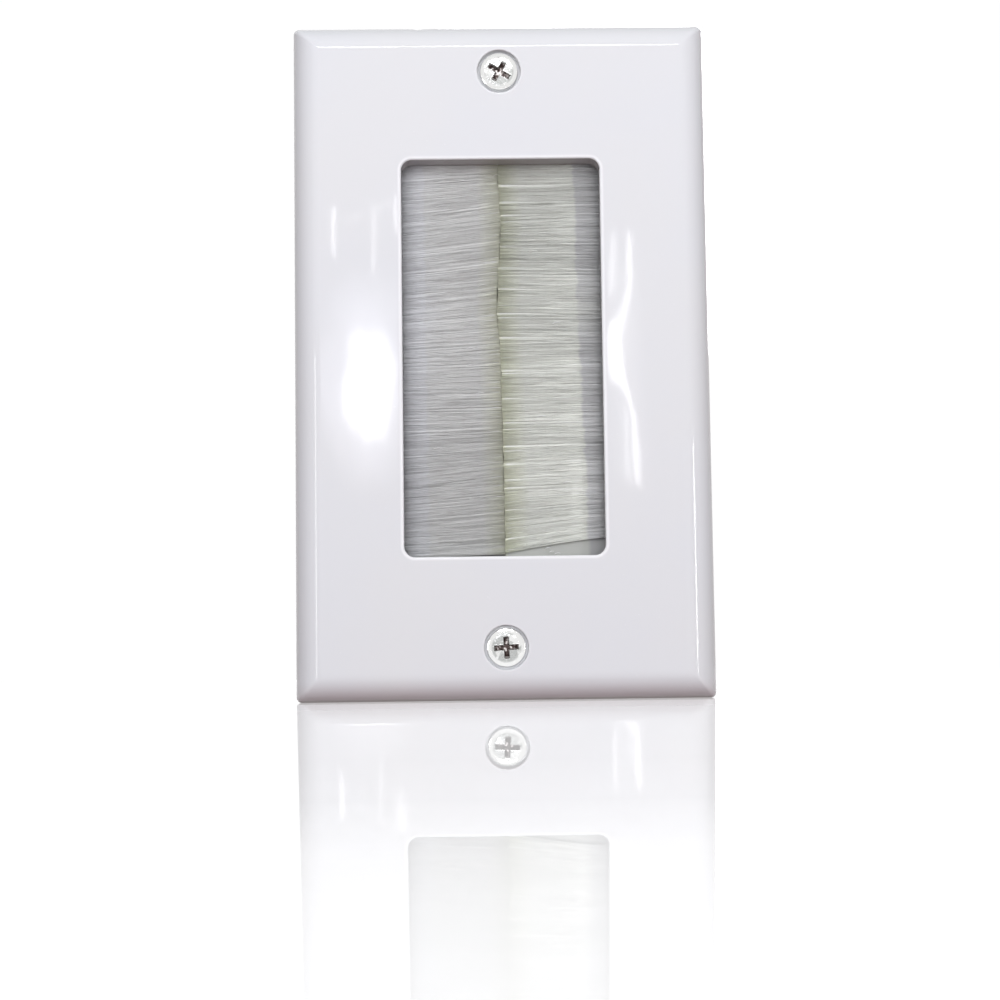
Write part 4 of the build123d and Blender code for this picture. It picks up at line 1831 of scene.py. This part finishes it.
@dataclass(frozen=True)
class Studio:
    """World light, lamps and colour management.

    Attributes:
        overhead: Colour of the sky straight above.
        below: Colour of the sky straight below.
        glows: Soft patches in the sky.
        lamps: Lamps aimed at the plate.
        glints: Lamps that the front mirrors.
    """

    overhead: Colour = (0.02, 0.02, 0.021)
    below: Colour = (0.015, 0.008, 0.008)
    glows: tuple[SkyGlow, ...] = (
        SkyGlow(0.0, 6.0, (4.44, 4.49, 4.71), 7.0),
    )
    lamps: tuple[Lamp, ...] = (
        Lamp("key_right", 44.0, -0.4, 0.75, (0.04, 0.14), 0.055, (1.0, 1.0, 0.97)),
        Lamp("top_soft", -0.9, 28.5, 0.80, (0.34, 0.055), 0.10),
        Lamp("left_soft", -34.0, 1.0, 0.62, (0.05, 0.17), 0.028, (1.0, 1.0, 0.97)),
        Lamp("rear_soft", 166.0, 20.0, 0.9, (0.45, 0.35), 0.55),
    )
    glints: tuple[MirroredLamp, ...] = (
        MirroredLamp("round_glint", (-22.2, 6.0), (-21.8, -15.5), 11.5, 9.0, 1.0, 2.0, 1.5),
        MirroredLamp(
            "round_halo", (-22.4, 17.0), (-22.2, -24.0), 21.0, 3.4, 1.0, 2.0, 0.8, (0.90, 0.90, 1.0)
        ),
        MirroredLamp("window_streak", (-17.5, 28.0), (-17.3, 20.0), 1.5, 5.0, 0.8, 4.0, 0.5),
        MirroredLamp("middle_streak", (-21.4, 26.0), (-21.2, 13.0), 1.0, 3.2, 0.8, 4.0, 0.6),
        MirroredLamp("thin_streak", (-28.3, 26.0), (-28.3, 16.5), 0.8, 8.0, 0.8, 4.0, 0.3),
        MirroredLamp("scratch_high", (-22.2, 24.6), (-18.6, 26.2), 0.35, 4.0, 0.5, 4.0, 0.4),
        MirroredLamp("scratch_low", (-26.8, 22.4), (-22.8, 24.0), 0.35, 4.5, 0.5, 4.0, 0.4),
        MirroredLamp("strip_left", (18.8, 21.5), (18.9, 9.0), 0.9, 5.0, 0.8, 4.0, 0.3),
        MirroredLamp("strip_right", (21.6, 21.5), (21.5, 10.0), 1.1, 7.5, 0.8, 4.0, 0.3),
        MirroredLamp("strip_bend", (21.5, 11.5), (19.6, 2.5), 1.1, 7.0, 0.8, 6.0, 0.3),
        MirroredLamp("strip_middle", (19.3, 6.0), (19.5, -5.5), 1.5, 9.5, 0.8, 4.0, 0.3),
        MirroredLamp("strip_low", (19.6, -4.0), (21.7, -11.0), 1.1, 8.5, 0.8, 6.0, 0.3),
        MirroredLamp("strip_foot", (21.7, -9.5), (22.0, -22.5), 1.1, 7.5, 0.8, 6.0, 0.3),
        MirroredLamp("strip_side", (19.9, -8.0), (20.6, -22.0), 0.7, 4.0, 0.8, 6.0, 0.4),
        MirroredLamp("strip_glow", (20.6, 18.0), (20.9, -24.0), 6.0, 0.9, 1.0),
    )

    def world(self) -> None:
        """White to the camera, to gloss and through glass, and a dim sky for all other light."""
        world = bpy.data.worlds.new("studio")
        bpy.context.scene.world = world
        recipe = Recipe(world, "ShaderNodeOutputWorld")
        direction = recipe.node("ShaderNodeTexCoord", {}, {})
        parts = recipe.axes(recipe.flow(direction, "Generated"))
        sky = recipe.mix(recipe.range(parts[2], -0.8, 0.5), self.below, self.overhead)
        for glow in self.glows:
            sky = sky + recipe.mix(glow.share(recipe, parts), (0.0, 0.0, 0.0), glow.colour)
        soft = recipe.node("ShaderNodeBackground", {}, {"Color": sky})
        white = recipe.node("ShaderNodeBackground", {}, {"Color": (1.0, 1.0, 1.0), "Strength": 1.01})
        path = recipe.node("ShaderNodeLightPath", {}, {})
        shown = recipe.flow(path, "Is Camera Ray").most(recipe.flow(path, "Is Glossy Ray"))
        shown = shown.most(recipe.flow(path, "Is Transmission Ray"))
        inputs = {0: shown, 1: soft.outputs[0], 2: white.outputs[0]}
        recipe.finish(recipe.node("ShaderNodeMixShader", {}, inputs))

    def build(self, camera: StudioCamera) -> None:
        """Sets the world, the lamps and the view transform.

        Args:
            camera: The camera whose mirrored rays place the small lamps.
        """
        self.world()
        for lamp in self.lamps:
            lamp.build()
        for glint in self.glints:
            glint.build(camera)
        settings = bpy.context.scene.view_settings
        settings.view_transform = "Standard"


# Making of the whole

def dress_nodes(finishes: Mapping[str, bpy.types.Material]) -> None:
    """Gives each CAD node that stays in view its material.

    Args:
        finishes: Material for each node's name or the end of it.
    """
    for name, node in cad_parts.items():
        for ending, finish in finishes.items():
            if name.endswith(ending) and not node.hide_render:
                node.data.materials.clear()
                node.data.materials.append(finish)
                LOG.info("dressed %s", name)


def make_screws(nickel: bpy.types.Material, zinc: bpy.types.Material) -> list[bpy.types.Object]:
    """Makes the eight screws.

    Args:
        nickel: Finish of the two screws that are seen.
        zinc: Finish of the others.

    Returns:
        The screws.
    """
    screws = []
    turns = {Level.UPPER: -31.0, Level.LOWER: 3.0}
    machine_thread = (1.4 * MM, 1.753 * MM)
    for level in Level:
        end = level.name.lower()
        cover = CrossScrew(
            end + "_cover_screw", "nickel", head_radius=3.2 * MM, head_height=1.4 * MM, seat=-4.2 * MM,
            towards_room=True, neck=(1.45 * MM, 0.3 * MM), thread=machine_thread, length=9.5 * MM,
            turn=turns[level], arms=(2.08 * MM, 1.8 * MM),
        )
        screws.append(cover.build(nickel))
        box = CrossScrew(
            end + "_box_screw", "zinc_screw", head_radius=3.2 * MM, head_height=1.6 * MM, seat=-1.4 * MM,
            towards_room=True, neck=(1.45 * MM, 2.1 * MM), thread=machine_thread, length=25.4 * MM,
            turn=22.0 * level.value,
        )
        screws.append(box.build(zinc))
        for side in Side:
            node = f"{end}_{side.name.lower()}_retainer_screw"
            small = CrossScrew(
                node, "zinc_screw", head_radius=1.8 * MM, head_height=1.2 * MM, seat=4.4 * MM,
                towards_room=False, neck=(0.85 * MM, 0.2 * MM), thread=(0.8 * MM, 1.1 * MM), length=6.0 * MM,
                turn=17.0 * side.value + 40.0, pitch=0.9 * MM, rings=60, spokes=120,
            )
            screws.append(small.build(zinc))
    return screws


def main() -> None:
    """Builds the pieces, dresses the frame's own, and sets up the floor, the lamps and the camera."""
    logging.basicConfig(level=logging.INFO, format="%(name)s: %(message)s")
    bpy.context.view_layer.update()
    nickel = Plating(
        "nickel_plate", (0.80, 0.80, 0.79), (0.36, 0.37, 0.36), roughness=0.07, patch=1.25
    ).build()
    zinc = Plating("zinc_plate", (0.70, 0.72, 0.74), (0.45, 0.46, 0.46), roughness=0.32).build()
    nylon = Nylon().build()
    pieces = [CoverPlate().build(GlossMoulding().build())]
    pieces += make_screws(nickel, zinc)
    for side in Side:
        pieces += BristleCurtain(side, STYLES[side]).build(nylon)
    for piece in pieces:
        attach(piece, "root")
        LOG.info("%s has %d faces", piece.name, len(piece.data.polygons))
    dress_nodes({
        "brush_yoke": MattMoulding("white_moulding", (0.74, 0.73, 0.72), (0.68, 0.67, 0.66)).build(),
        "rear_retainer": MattMoulding("grey_moulding", (0.30, 0.31, 0.32), (0.25, 0.26, 0.27)).build(),
        "thread_insert": TurnedMetal("turned_brass", (0.72, 0.52, 0.25), (0.48, 0.32, 0.15)).build(),
        "brush_channel": SpangledSteel().build(),
        "core_wire": TurnedMetal("drawn_wire", (0.55, 0.54, 0.52), (0.36, 0.34, 0.32), along=2).build(),
        "screw_washer": PressedFibre().build(),
    })
    camera = StudioCamera()
    Floor().build()
    Studio().build(camera)
    camera.build()


if __name__ == "__main__":
    main()
